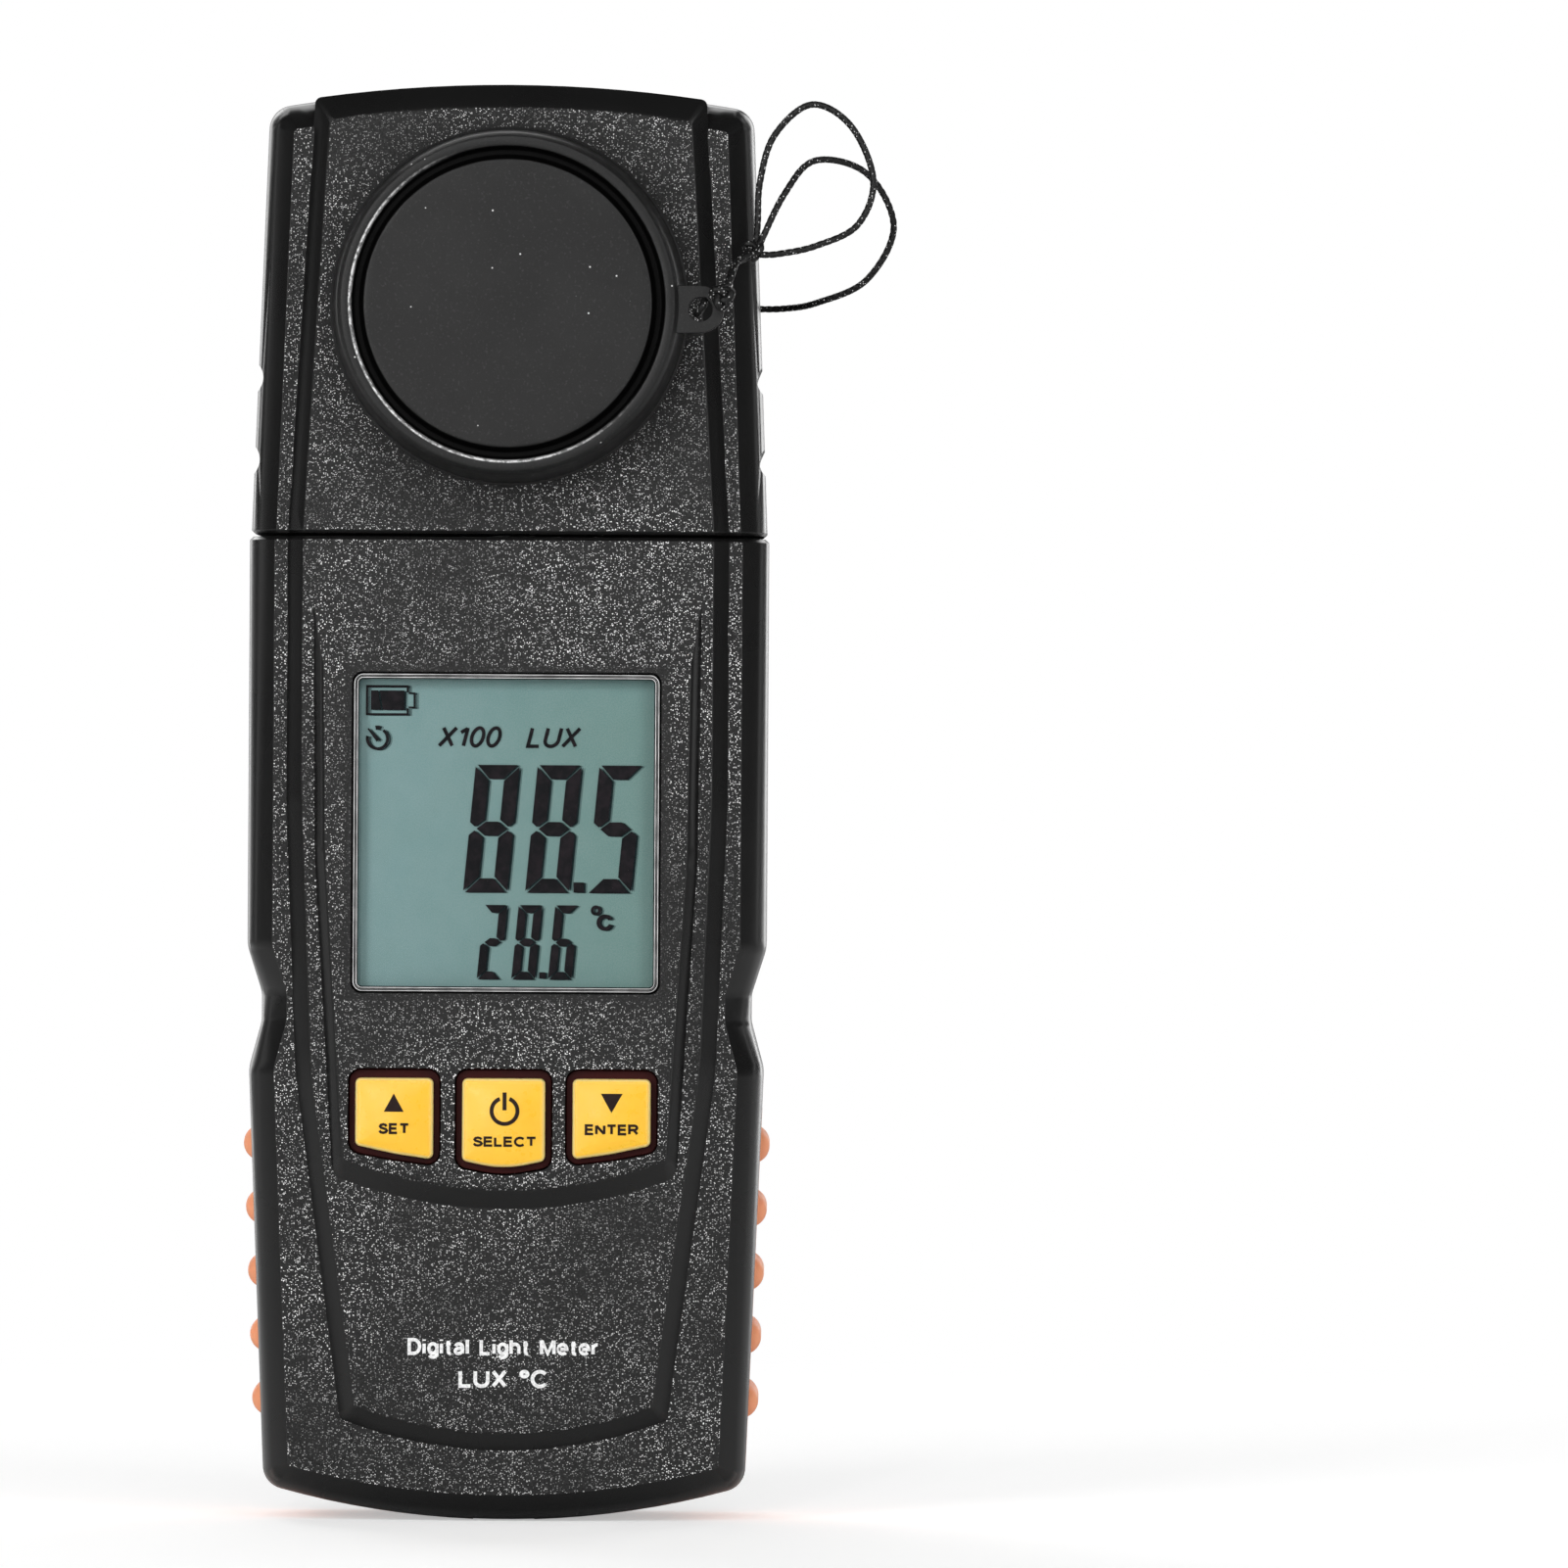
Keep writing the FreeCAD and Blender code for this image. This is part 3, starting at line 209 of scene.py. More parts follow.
def sparkling_plastic(name, base, shaded_bevel, painted_glint_colour, amount, flat_rough, bevel_rough, grain, plain=None):
    """Spark-eroded plastic: flats flecked with painted glints that fade under painted shade in hollows,
    bevels painted darker as shade, and a smooth margin on a node named as plain.
    """
    m = Material(name)
    flat = m.level()
    rough_area = flat
    if plain:
        margin = m.stretch(off_rectangle(m, *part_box(plain)), 0.7 * MM, 1.5 * MM, 0.12, 1.0)
        behind = m.math("GREATER_THAN", m.part(m.place, "Y"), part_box(plain)[1].y + 5 * MM)
        rough_area = m.times(flat, m.math("MAXIMUM", margin, behind))
    drift = m.noise(60.0, 2.0)
    pores = m.stretch(m.noise(4300.0, 2.0, 0.6), 0.38, 0.62)
    body = m.blend(pores, scaled(base, 0.3), scaled(base, 1.7))
    body = m.blend(m.times(m.stretch(drift, 0.3, 0.7), 0.3), body, scaled(base, 1.9))
    # Painted shade: bevels and sides take a darker colour than the flats.
    body = m.blend(flat, shaded_bevel, body)
    # Painted highlights: bright glints on the grain, in clumps.
    coarse = fleck_spots(m, m.cells(3500.0), amount, 0.42, 0.22)
    fine = fleck_spots(m, m.cells(5300.0, m.stretched((1.0, 0.6, 1.15))), amount, 0.46, 0.22)
    clump = m.stretch(m.noise(260.0, 4.0, 0.72), 0.34, 0.60)
    region = m.times(m.patches(30.0, 3.0, 0.36, 0.62, 0.26), m.stretch(clump, 0.0, 1.0, 0.42))
    # Painted highlight: more glints along the edges.
    edge_highlight = m.times(m.crease(1.2 * MM), 2.0)
    painted_glints = m.times(m.math("MAXIMUM", coarse, fine), m.plus(region, edge_highlight), clamp=True)
    # Painted shade: the glints and the shine fade where the surface is closed in.
    openness = m.add("ShaderNodeAmbientOcclusion", {"Distance": 9 * MM}, samples=3).outputs["AO"]
    hollow_shade = m.stretch(openness, 0.10, 0.75, 0.12)
    painted_glints = m.times(m.times(painted_glints, hollow_shade), rough_area)
    colour = m.blend(painted_glints, body, painted_glint_colour)
    height = m.plus(m.noise(3000.0, 2.0), m.times(m.noise(900.0, 2.0), 0.3))
    height = m.times(height, m.stretch(rough_area, 0.0, 1.0, 0.06))
    rough = m.varied(m.stretch(flat, 0.0, 1.0, bevel_rough, flat_rough), drift, 0.12)
    normal = m.bump(height, grain, m.rounded(0.22 * MM))
    shine = m.times(m.stretch(flat, 0.0, 1.0, 0.5, 0.28), hollow_shade)
    return m.finish(colour, rough, normal, Specular_IOR_Level=shine)


def fleck_spots(m, cells, amount, edge, core):
    """Spots of a cell pattern: a share of the cells is chosen, each bright within its core."""
    chosen = m.stretch(m.part(cells.outputs["Color"], "X"), 1.0 - amount, 1.0 - amount * 0.75)
    return m.times(m.stretch(cells.outputs["Distance"], edge, core), chosen)


def painted_hollow_shade(m, tone, colour, reach, share):
    """Painted shade: the tone, taken towards a darker colour where the surface is closed in within reach."""
    openness = m.add("ShaderNodeAmbientOcclusion", {"Distance": reach}, samples=4).outputs["AO"]
    return m.blend(m.stretch(openness, 0.40, 0.92), scaled(colour, share), tone)


def moulded(name, colour, rough, pitch, relief, drift, hollow_shade_reach=0.0, **extra):
    """Plain moulded plastic or rubber: fine grain, slow drift in tone and gloss, rounded creases, and painted
    shade in the hollows when a reach for it is given.
    """
    m = Material(name)
    slow = m.noise(90.0, 3.0)
    darker, lighter = scaled(colour, 1 - drift), scaled(colour, 1 + drift)
    tone = m.blend(m.stretch(slow, 0.28, 0.72), darker, lighter)
    tone = m.blend(m.times(m.stretch(m.noise(pitch * 0.4, 4.0), 0.62, 0.78), 0.35), tone, lighter)
    # Painted shade in the hollows within the given reach.
    if hollow_shade_reach:
        tone = painted_hollow_shade(m, tone, colour, hollow_shade_reach, 0.45)
    gloss = m.varied(rough, m.noise(400.0, 4.0), 0.18)
    height = m.plus(m.noise(pitch, 2.0), m.times(m.noise(pitch * 0.3, 2.0), 0.5))
    return m.finish(tone, gloss, m.bump(height, relief * MM, m.rounded(0.22 * MM)), **extra)


def band(m, value, low, full, fall, high):
    """1 between full and fall and 0 outside low and high, all in millimetres."""
    return m.times(m.stretch(value, low * MM, full * MM), m.stretch(value, high * MM, fall * MM))


def dished_cap():
    """Satin cap plastic: even disc with stray dust, moat painted black as shade, painted glint on the moat's
    outer rim.
    """
    m = Material("cap_plastic")
    low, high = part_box("sensor_collar")
    x = m.minus(m.part(m.place, "X"), (low.x + high.x) / 2)
    z = m.minus(m.part(m.place, "Z"), (low.z + high.z) / 2)
    reach = m.math("SQRT", m.plus(m.times(x, x), m.times(z, z)))
    front = m.math("LESS_THAN", m.part(m.place, "Y"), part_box("sensor_cap")[0].y + 2.2 * MM)
    moat = m.times(band(m, reach, 20.0, 20.3, 21.95, 22.15), front)
    slow = m.patches(90.0, 3.0, 0.28, 0.72)
    tone = m.blend(slow, grey(0.010), grey(0.0135))
    tone = m.blend(m.patches(2600.0, 3.0, 0.55, 0.75), tone, grey(0.024))
    dust = m.cells(520.0)
    settled = m.math("GREATER_THAN", m.part(dust.outputs["Color"], "X"), 0.86)
    speck = m.times(m.stretch(dust.outputs["Distance"], 0.085, 0.04), settled)
    tone = m.blend(m.times(speck, 0.8), tone, grey(0.8))
    # Painted shade: the moat is painted near black.
    tone = m.blend(moat, tone, grey(0.0015))
    # Painted highlight: a broken glint on the moat's outer rim, on the lit side.
    rim = band(m, reach, 21.85, 22.1, 22.25, 22.45)
    lit_side = m.stretch(m.plus(m.times(x, -0.8), m.times(z, -0.6)), -8 * MM, 14 * MM)
    broken = m.stretch(m.noise(900.0, 4.0, 0.7), 0.42, 0.58, 0.25, 1.0)
    glint = m.times(m.times(m.times(rim, lit_side), broken), front)
    tone = m.blend(glint, tone, grey(0.75))
    gloss = m.varied(0.40, m.noise(400.0, 4.0), 0.18)
    height = m.plus(m.noise(3600.0, 2.0), m.times(m.noise(1100.0, 2.0), 0.5))
    shine = m.stretch(moat, 0.0, 1.0, 0.20, 0.04)
    return m.finish(tone, gloss, m.bump(height, 0.016 * MM, m.rounded(0.25 * MM)), Specular_IOR_Level=shine)


def brushed(name, colour, rough, pull):
    """Metal with drawing or turning marks and painted shade in its hollows: pull stretches the marks along an
    axis.
    """
    m = Material(name)
    marks = m.noise(2200.0, 4.0, 0.6, m.stretched(pull))
    stain = m.patches(350.0, 4.0, 0.45, 0.75)
    dull = scaled(colour, 0.72)
    tone = m.blend(m.times(stain, 0.6), colour, dull)
    # Painted shade: the tone darkens in hollows.
    tone = painted_hollow_shade(m, tone, colour, 1.2 * MM, 0.08)
    gloss = m.varied(rough, marks, 0.25)
    return m.finish(tone, gloss, m.bump(marks, 0.004 * MM, m.rounded(0.08 * MM)), Metallic=1.0)


def clear_window():
    """Clear moulded pane: lets light straight through and mirrors a little at a glance."""
    m = Material("window_clear")
    ripple = m.bump(m.noise(120.0, 2.0), 0.004 * MM)
    fresnel = m.add("ShaderNodeFresnel", {"IOR": 1.49, "Normal": ripple}).outputs[0]
    inner_side = m.add("ShaderNodeNewGeometry").outputs["Backfacing"]
    fresnel = m.times(fresnel, m.minus(1.0, inner_side))
    smear = m.stretch(m.noise(55.0, 4.0, 0.6, m.stretched((1.0, 1.0, 0.35))), 0.45, 0.8, 0.015, 0.09)
    tint = m.blend(m.patches(300.0, 2.0, 0.4, 0.7), rgb(0.97, 0.985, 0.98), rgb(0.95, 0.975, 0.97))
    through = m.add("ShaderNodeBsdfTransparent", {"Color": tint}).outputs[0]
    mirror = m.add("ShaderNodeBsdfGlossy", {"Roughness": smear, "Normal": ripple}).outputs[0]
    return m.mixed(fresnel, through, mirror)


def display_cell():
    """Reflective display: grey-green film, lighter to the left, with a faint dot grain."""
    m = Material("lcd_cell")
    low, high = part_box("lcd_glass")
    across = m.stretch(m.part(m.place, "X"), low.x, high.x)
    up = m.stretch(m.part(m.place, "Z"), high.z - 9 * MM, high.z)
    tone = m.blend(across, LCD_LEFT, LCD_RIGHT)
    tone = m.blend(m.times(up, 0.55), tone, LCD_TOP)
    cloud = m.stretch(m.noise(130.0, 4.0, 0.6), 0.35, 0.7)
    tone = m.blend(m.times(cloud, 0.30), tone, LCD_CLOUD)
    grain = m.patches(5200.0, 1.0, 0.3, 0.7)
    tone = m.blend(m.times(grain, 0.10), tone, grey(0.45))
    return m.finish(tone, 0.5, m.bump(m.noise(4000.0, 1.0), 0.002 * MM))


def layered_board():
    """Green solder mask with a darker pour, faint tracks and a woven glass grain."""
    m = Material("circuit_board")
    weave = m.times(m.math("SINE", m.times(m.part(m.place, "X"), 9000.0)), 0.5)
    weft = m.times(m.math("SINE", m.times(m.part(m.place, "Z"), 9000.0)), 0.5)
    cloth = m.plus(m.times(weave, weft), 0.5)
    pour = m.cells(420.0, place=m.stretched((1.0, 1.0, 0.6)))
    track = m.stretch(pour.outputs["Distance"], 0.42, 0.46)
    tone = m.blend(track, rgb(0.012, 0.11, 0.045), rgb(0.02, 0.17, 0.07))
    tone = m.blend(m.times(cloth, 0.2), tone, rgb(0.05, 0.22, 0.1))
    height = m.plus(track, m.times(cloth, 0.3))
    return m.finish(tone, 0.32, m.bump(height, 0.02 * MM), Coat_Weight=0.3)


def banded_rubber():
    """Elastomer connector: fine black and pale layers along its length."""
    m = Material("zebra_rubber")
    wave = m.math("SINE", m.times(m.part(m.place, "X"), 2 * math.pi / (0.18 * MM)))
    layer = m.stretch(wave, -0.2, 0.2)
    tone = m.blend(layer, rgb(0.62, 0.45, 0.42), grey(0.02))
    gloss = m.patches(900.0, 3.0, 0.3, 0.7, 0.45, 0.65)
    return m.finish(tone, gloss, m.bump(layer, 0.01 * MM))


def cell_jacket():
    """Printed foil sleeve of a dry cell: dark body, pale band, plated ends, faint lengthwise shrink lines."""
    m = Material("cell_jacket")
    low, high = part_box("battery_cells")
    along = m.part(m.place, "Z")
    share = m.stretch(along, low.z, high.z)
    sleeve = m.blend(m.math("GREATER_THAN", share, 0.70), rgb(0.02, 0.05, 0.09), rgb(0.45, 0.47, 0.5))
    ends = m.math("GREATER_THAN", m.math("ABSOLUTE", m.part(m.facing, "Z")), 0.6)
    tone = m.blend(ends, sleeve, rgb(0.6, 0.58, 0.54))
    lines = m.noise(1500.0, 3.0, 0.6, m.stretched((1.0, 1.0, 0.04)))
    gloss = m.stretch(lines, 0.3, 0.7, 0.22, 0.38)
    return m.finish(tone, gloss, m.bump(lines, 0.006 * MM), Metallic=m.stretch(ends, 0.0, 1.0, 0.35, 0.9))


def opal():
    """Milky diffuser plastic with a satin skin."""
    m = Material("opal_diffuser")
    cloud = m.patches(140.0, 4.0, 0.3, 0.7)
    tone = m.blend(cloud, rgb(0.80, 0.81, 0.80), rgb(0.88, 0.88, 0.86))
    gloss = m.patches(800.0, 3.0, 0.3, 0.7, 0.30, 0.42)
    skin = m.bump(m.noise(3200.0, 2.0), 0.004 * MM)
    return m.finish(tone, gloss, skin, Subsurface_Weight=0.5, Subsurface_Scale=2.0 * MM)


def filter_glass():
    m = Material("filter_glass")
    seed = m.patches(900.0, 3.0, 0.55, 0.75)
    tone = m.blend(m.times(seed, 0.3), rgb(0.10, 0.36, 0.24), rgb(0.16, 0.45, 0.30))
    gloss = m.patches(500.0, 2.0, 0.3, 0.7, 0.04, 0.1)
    return m.finish(tone, gloss, m.bump(m.noise(250.0, 2.0), 0.002 * MM), Transmission_Weight=0.4)


def silicone_key():
    """Soft yellow key: warm and even on top, with a painted highlight that makes it paler where the rim turns
    away.
    """
    m = Material("key_yellow")
    front = m.times(m.part(m.facing, "Y"), -1.0)
    rim = m.stretch(front, 0.97, 0.62)
    patch = m.stretch(m.noise(130.0, 3.0, 0.5), 0.25, 0.75)
    tone = m.blend(patch, rgb(0.86, 0.485, 0.026), rgb(0.90, 0.52, 0.036))
    # Painted highlight: the rim turns paler where it faces away from the front.
    tone = m.blend(m.times(rim, 0.8), tone, rgb(1.0, 0.80, 0.32))
    gloss = m.patches(700.0, 4.0, 0.3, 0.7, 0.26, 0.36)
    skin = m.plus(m.noise(2600.0, 2.0), m.times(m.noise(500.0, 2.0), 0.4))
    return m.finish(tone, gloss, m.bump(skin, 0.005 * MM), Subsurface_Weight=0.15, Subsurface_Scale=1.0 * MM)


def printed(name, colour, rough):
    """Pad-printed ink: slightly uneven cover with a fine pebbled surface."""
    m = Material(name)
    thin = m.stretch(m.noise(2400.0, 4.0, 0.65), 0.36, 0.60)
    worn = scaled(colour, 0.72)
    tone = m.blend(thin, worn, colour)
    gloss = m.patches(900.0, 2.0, 0.3, 0.7, rough, rough + 0.15)
    return m.finish(tone, gloss, m.bump(m.noise(3000.0, 2.0), 0.006 * MM), Specular_IOR_Level=0.15)


def display_ink():
    """Switched-on display segment: near black with a faint violet cast."""
    m = Material("display_ink")
    cast = m.patches(700.0, 3.0, 0.35, 0.7)
    tone = m.blend(cast, rgb(0.004, 0.0035, 0.005), rgb(0.014, 0.009, 0.012))
    return m.finish(tone, 0.6, m.bump(m.noise(4000.0, 2.0), 0.002 * MM), Specular_IOR_Level=0.1)


def display_shade(strength):
    """Shadow that a segment throws on the film behind it."""
    m = Material("display_shade")
    patch = m.patches(900.0, 2.0, 0.2, 0.8, strength * 0.8, strength)
    dark = m.add("ShaderNodeBsdfDiffuse", {"Color": rgb(0.02, 0.035, 0.04)}).outputs[0]
    through = m.add("ShaderNodeBsdfTransparent").outputs[0]
    return m.mixed(patch, through, dark)


def beaded_rim():
    """Polished edge of the pane: the crests of its beads carry a painted highlight, the grooves between them
    are painted black as shade.
    """
    m = Material("lens_edge")
    front = m.times(m.part(m.facing, "Y"), -1.0)
    uneven = m.patches(420.0, 3.0, 0.3, 0.7, 0.55, 1.0)
    # Painted highlight on the bead crests that face the front; painted shade in the grooves.
    crest_highlight = m.times(m.stretch(front, 0.86, 0.97), uneven)
    tone = m.blend(crest_highlight, grey(0.004), grey(0.72))
    gloss = m.patches(900.0, 2.0, 0.3, 0.7, 0.12, 0.24)
    return m.finish(tone, gloss, m.bump(m.noise(1500.0, 2.0), 0.002 * MM))


def braid_yarn():
    """Black polyester yarn: fine filaments, a dull sheen, paler crowns and painted glints on raised stitches.
    """
    m = Material("cord_braid")
    filaments = m.noise(9000.0, 3.0, 0.7)
    crown = m.patches(1500.0, 3.0, 0.4, 0.75)
    tone = m.blend(m.times(crown, 0.5), grey(0.003), grey(0.02))
    tone = m.blend(m.stretch(filaments, 0.62, 0.8), tone, grey(0.07))
    # Painted highlights: glints on a share of the stitch cells.
    stitch = m.cells(2700.0)
    raised = m.math("GREATER_THAN", m.part(stitch.outputs["Color"], "X"), 0.62)
    glint = m.times(m.stretch(stitch.outputs["Distance"], 0.34, 0.16), raised)
    tone = m.blend(m.times(glint, 0.8), tone, grey(0.65))
    return m.finish(tone, 0.5, m.bump(filaments, 0.02 * MM), Specular_IOR_Level=0.25)


LCD_LEFT = rgb(0.160, 0.264, 0.272)
LCD_RIGHT = rgb(0.116, 0.212, 0.198)
LCD_TOP = rgb(0.110, 0.206, 0.212)
LCD_CLOUD = rgb(0.134, 0.234, 0.226)

# Plain mouldings: colour, roughness, grains to the metre, height of the grain in mm, drift of the tone.
MOULDED = {
    "carbon": (grey(0.02), 0.7, 5000.0, 0.01, 0.3),
    "frame_white": (grey(0.62, 0.02), 0.45, 2400.0, 0.01, 0.06),
    "light_guide": (rgb(0.75, 0.80, 0.78), 0.15, 1500.0, 0.004, 0.05),
    "chip_black": (grey(0.022), 0.5, 4200.0, 0.014, 0.15),
    "connector_white": (rgb(0.70, 0.68, 0.60), 0.4, 2800.0, 0.008, 0.05),
    "bush_plastic": (rgb(0.55, 0.54, 0.50), 0.4, 2600.0, 0.01, 0.05),
    "spindle_plastic": (grey(0.03), 0.35, 2400.0, 0.01, 0.12),
    "cable_jacket": (grey(0.05), 0.5, 1900.0, 0.014, 0.15),
    "diode_ceramic": (rgb(0.16, 0.12, 0.20), 0.3, 3200.0, 0.006, 0.15),
    "thermistor_bead": (rgb(0.10, 0.035, 0.012), 0.2, 1800.0, 0.02, 0.2),
}
# Grip rubber: the last value is the reach of the shade painted into the hollows between its ridges.
GRIP = (rgb(0.97, 0.38, 0.195), 0.52, 1800.0, 0.020, 0.03, 4 * MM)
# Key mat: dark maroon that paints the orange rubber as it looks in deep shade in the gaps round the keys.
SHADED_KEY_BASE = (rgb(0.030, 0.0018, 0.0015), 0.50, 2200.0, 0.012, 0.25)
# Spark-eroded looks: colour, bevel colour painted darker as shade, colour of the painted glints, share of
# glinting cells, flat and bevel roughness, grain height, and, where given, the node with a plain margin round
# it.
CASE_LOOK = (grey(0.0075), grey(0.004), grey(1.0), 0.25, 0.62, 0.28, 0.040 * MM, "lcd_window")
DOOR_LOOK = (grey(0.011), grey(0.006), grey(0.60), 0.22, 0.60, 0.34, 0.035 * MM)

MATERIALS = {
    "case_plastic": sparkling_plastic("case_plastic", *CASE_LOOK),
    "door_plastic": sparkling_plastic("door_plastic", *DOOR_LOOK),
    "cap_plastic": dished_cap(),
    "grip_rubber": moulded("grip_rubber", *GRIP, Subsurface_Weight=0.1, Subsurface_Scale=0.8 * MM),
    "key_yellow": silicone_key(),
    "key_silicone": moulded("key_silicone", *SHADED_KEY_BASE, Specular_IOR_Level=0.12),
    "window_clear": clear_window(),
    "lcd_cell": display_cell(),
    "zebra_rubber": banded_rubber(),
    "circuit_board": layered_board(),
    "steel": brushed("steel", rgb(0.56, 0.55, 0.53), 0.28, (1.0, 0.08, 1.0)),
    "spring_steel": brushed("spring_steel", rgb(0.60, 0.59, 0.57), 0.22, (0.15, 1.0, 0.15)),
    "cell_jacket": cell_jacket(),
    "cord_braid": braid_yarn(),
    "opal_diffuser": opal(),
    "filter_glass": filter_glass(),
}
MATERIALS.update({name: moulded(name, *look) for name, look in MOULDED.items()})
KEY_INK = printed("key_ink", rgb(0.016, 0.006, 0.005), 0.5)
CASE_INK = printed("case_ink", grey(0.85), 0.5)
DISPLAY_INK = display_ink()
NEAR_SHADE = display_shade(0.30)
FAR_SHADE = display_shade(0.16)
LENS_EDGE = beaded_rim()


# ---- shading of the CAD nodes -------------------------------------------------------------------
# Edges that turn by more degrees than this stay sharp.
GENTLE_ANGLE = 34.0
SEAM_REACH = 0.002 * MM


def smoothing_group():
    """Geometry nodes that join the seams between CAD faces and shade smoothly across gentle edges."""
    group = bpy.data.node_groups.new("smooth_gentle_edges", "GeometryNodeTree")
    for direction in ("INPUT", "OUTPUT"):
        group.interface.new_socket("Geometry", in_out=direction, socket_type="NodeSocketGeometry")
    kinds = ["NodeGroupInput", "GeometryNodeRemoveAttribute", "GeometryNodeMergeByDistance"]
    kinds += ["GeometryNodeSetShadeSmooth", "GeometryNodeSetShadeSmooth", "NodeGroupOutput"]
    chain = [group.nodes.new(kind) for kind in kinds]
    for before, after in zip(chain, chain[1:]):
        group.links.new(before.outputs[0], after.inputs[0])
    forget, merge, faces, edges = chain[1:-1]
    forget.inputs["Name"].default_value = "custom_normal"
    merge.inputs["Distance"].default_value = SEAM_REACH
    faces.domain = "FACE"
    edges.domain = "EDGE"
    angle = group.nodes.new("GeometryNodeInputMeshEdgeAngle")
    compare = group.nodes.new("FunctionNodeCompare")
    compare.data_type = "FLOAT"
    compare.operation = "LESS_EQUAL"
    compare.inputs[1].default_value = math.radians(GENTLE_ANGLE)
    group.links.new(angle.outputs["Unsigned Angle"], compare.inputs[0])
    group.links.new(compare.outputs[0], edges.inputs["Shade Smooth"])
    return group


def dress_nodes():
    """Gives every CAD node its procedural material and smooth shading over its gentle edges."""
    group = smoothing_group()
    for node in NODES.values():
        slots = node.data.materials
        material = MATERIALS[slots[0].name.split(".")[0]]
        for index in range(len(slots)):
            slots[index] = material
        node.modifiers.new("gentle_edges", "NODES").node_group = group
        weighted = node.modifiers.new("flats_stay_flat", "WEIGHTED_NORMAL")
        weighted.keep_sharp = True
        weighted.weight = 100


# ---- mesh tools ---------------------------------------------------------------------------------
def piece(name, points, faces, material, body=None, smooth=True):
    """A new mesh object from points in metres, its faces turned outwards, riding on a body."""
    mesh = bpy.data.meshes.new(name)
    mesh.from_pydata([tuple(p) for p in points], [], faces)
    solid = bmesh.new()
    solid.from_mesh(mesh)
    bmesh.ops.recalc_face_normals(solid, faces=solid.faces)
    solid.to_mesh(mesh)
    solid.free()
    mesh.materials.append(material)
    mesh.polygons.foreach_set("use_smooth", [smooth] * len(mesh.polygons))
    mesh.update()
    item = bpy.data.objects.new(name, mesh)
    bpy.context.scene.collection.objects.link(item)
    if body:
        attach(item, body)
    return item


def ring_faces(count, rings, closed=False):
    """Quads between successive rings of count points."""
    faces = []
    spans = rings if closed else rings - 1
    for i in range(spans):
        a, b = i * count, ((i + 1) % rings) * count
        for k in range(count):
            n = (k + 1) % count
            faces.append((a + k, a + n, b + n, b + k))
    return faces


def resampled(points, count):
    """count points at even steps along a closed outline."""
    loop = np.vstack([points, points[:1]])
    step = np.linalg.norm(np.diff(loop, axis=0), axis=1)
    along = np.concatenate([[0.0], np.cumsum(step)])
    wanted = np.linspace(0.0, along[-1], count, endpoint=False)
    return np.column_stack([np.interp(wanted, along, loop[:, i]) for i in range(2)])


def drawn_in(points, inset):
    """A closed outline moved inwards along its own normals."""
    ahead = np.roll(points, -1, axis=0) - np.roll(points, 1, axis=0)
    normal = np.column_stack([-ahead[:, 1], ahead[:, 0]])
    normal /= np.linalg.norm(normal, axis=1)[:, None]
    return points + normal * inset


def plate(name, outlines, front, back, material, slot, body):
    """Thin closed plates from (x, z) outlines, between two depths; front may be a function of x and z."""
    points, faces = [], []
    for outline in outlines:
        first, count = len(points), len(outline)
        for x, z in outline:
            points.append((x, front(x, z) if callable(front) else front, z))
        for x, z in outline:
            points.append((x, (front(x, z) + back) if callable(front) else back, z))
        faces.append(tuple(range(first, first + count)))
        faces.append(tuple(range(first + 2 * count - 1, first + count - 1, -1)))
        for k in range(count):
            n = (k + 1) % count
            faces.append((first + n, first + k, first + count + k, first + count + n))
    return piece(name, points, faces, material, body, smooth=False)


def sector(x, z, inner, outer, start, end, steps=20):
    """Outline of part of a flat ring, between two angles in degrees."""
    angles = np.radians(np.linspace(start, end, steps))
    far = [(x + outer * math.cos(a), z + outer * math.sin(a)) for a in angles]
    near = [(x + inner * math.cos(a), z + inner * math.sin(a)) for a in reversed(angles)]
    return far + near


def bar(x0, x1, z0, z1):
    return [(x0, z0), (x1, z0), (x1, z1), (x0, z1)]


def arc(x, z, half_width, half_height, start, end, steps=14):
    """Points along part of an ellipse, between two angles in degrees."""
    angles = np.radians(np.linspace(start, end, steps))
    return [(x + half_width * math.cos(a), z + half_height * math.sin(a)) for a in angles]


def ring(x, z, half_width, half_height):
    """A whole ellipse as a closed stroke: its last point repeats the first."""
    return arc(x, z, half_width, half_height, 0, 360, 27)


S_CURVE = [(0.62, 0.76), (0.53, 0.92), (0.33, 1.0), (0.13, 0.93), (0.05, 0.76), (0.14, 0.60), (0.34, 0.52),
           (0.55, 0.43), (0.65, 0.25), (0.55, 0.07), (0.33, 0.0), (0.10, 0.07), (0.0, 0.26)]

FOOT_OF_A = arc(0.20, 0.185, 0.19, 0.185, 90, 270)
LEG_OF_R = [(0.38, 0.50), (0.68, 0.02)]
TAIL_OF_G = arc(0.27, -0.04, 0.25, 0.24, 0, -155)

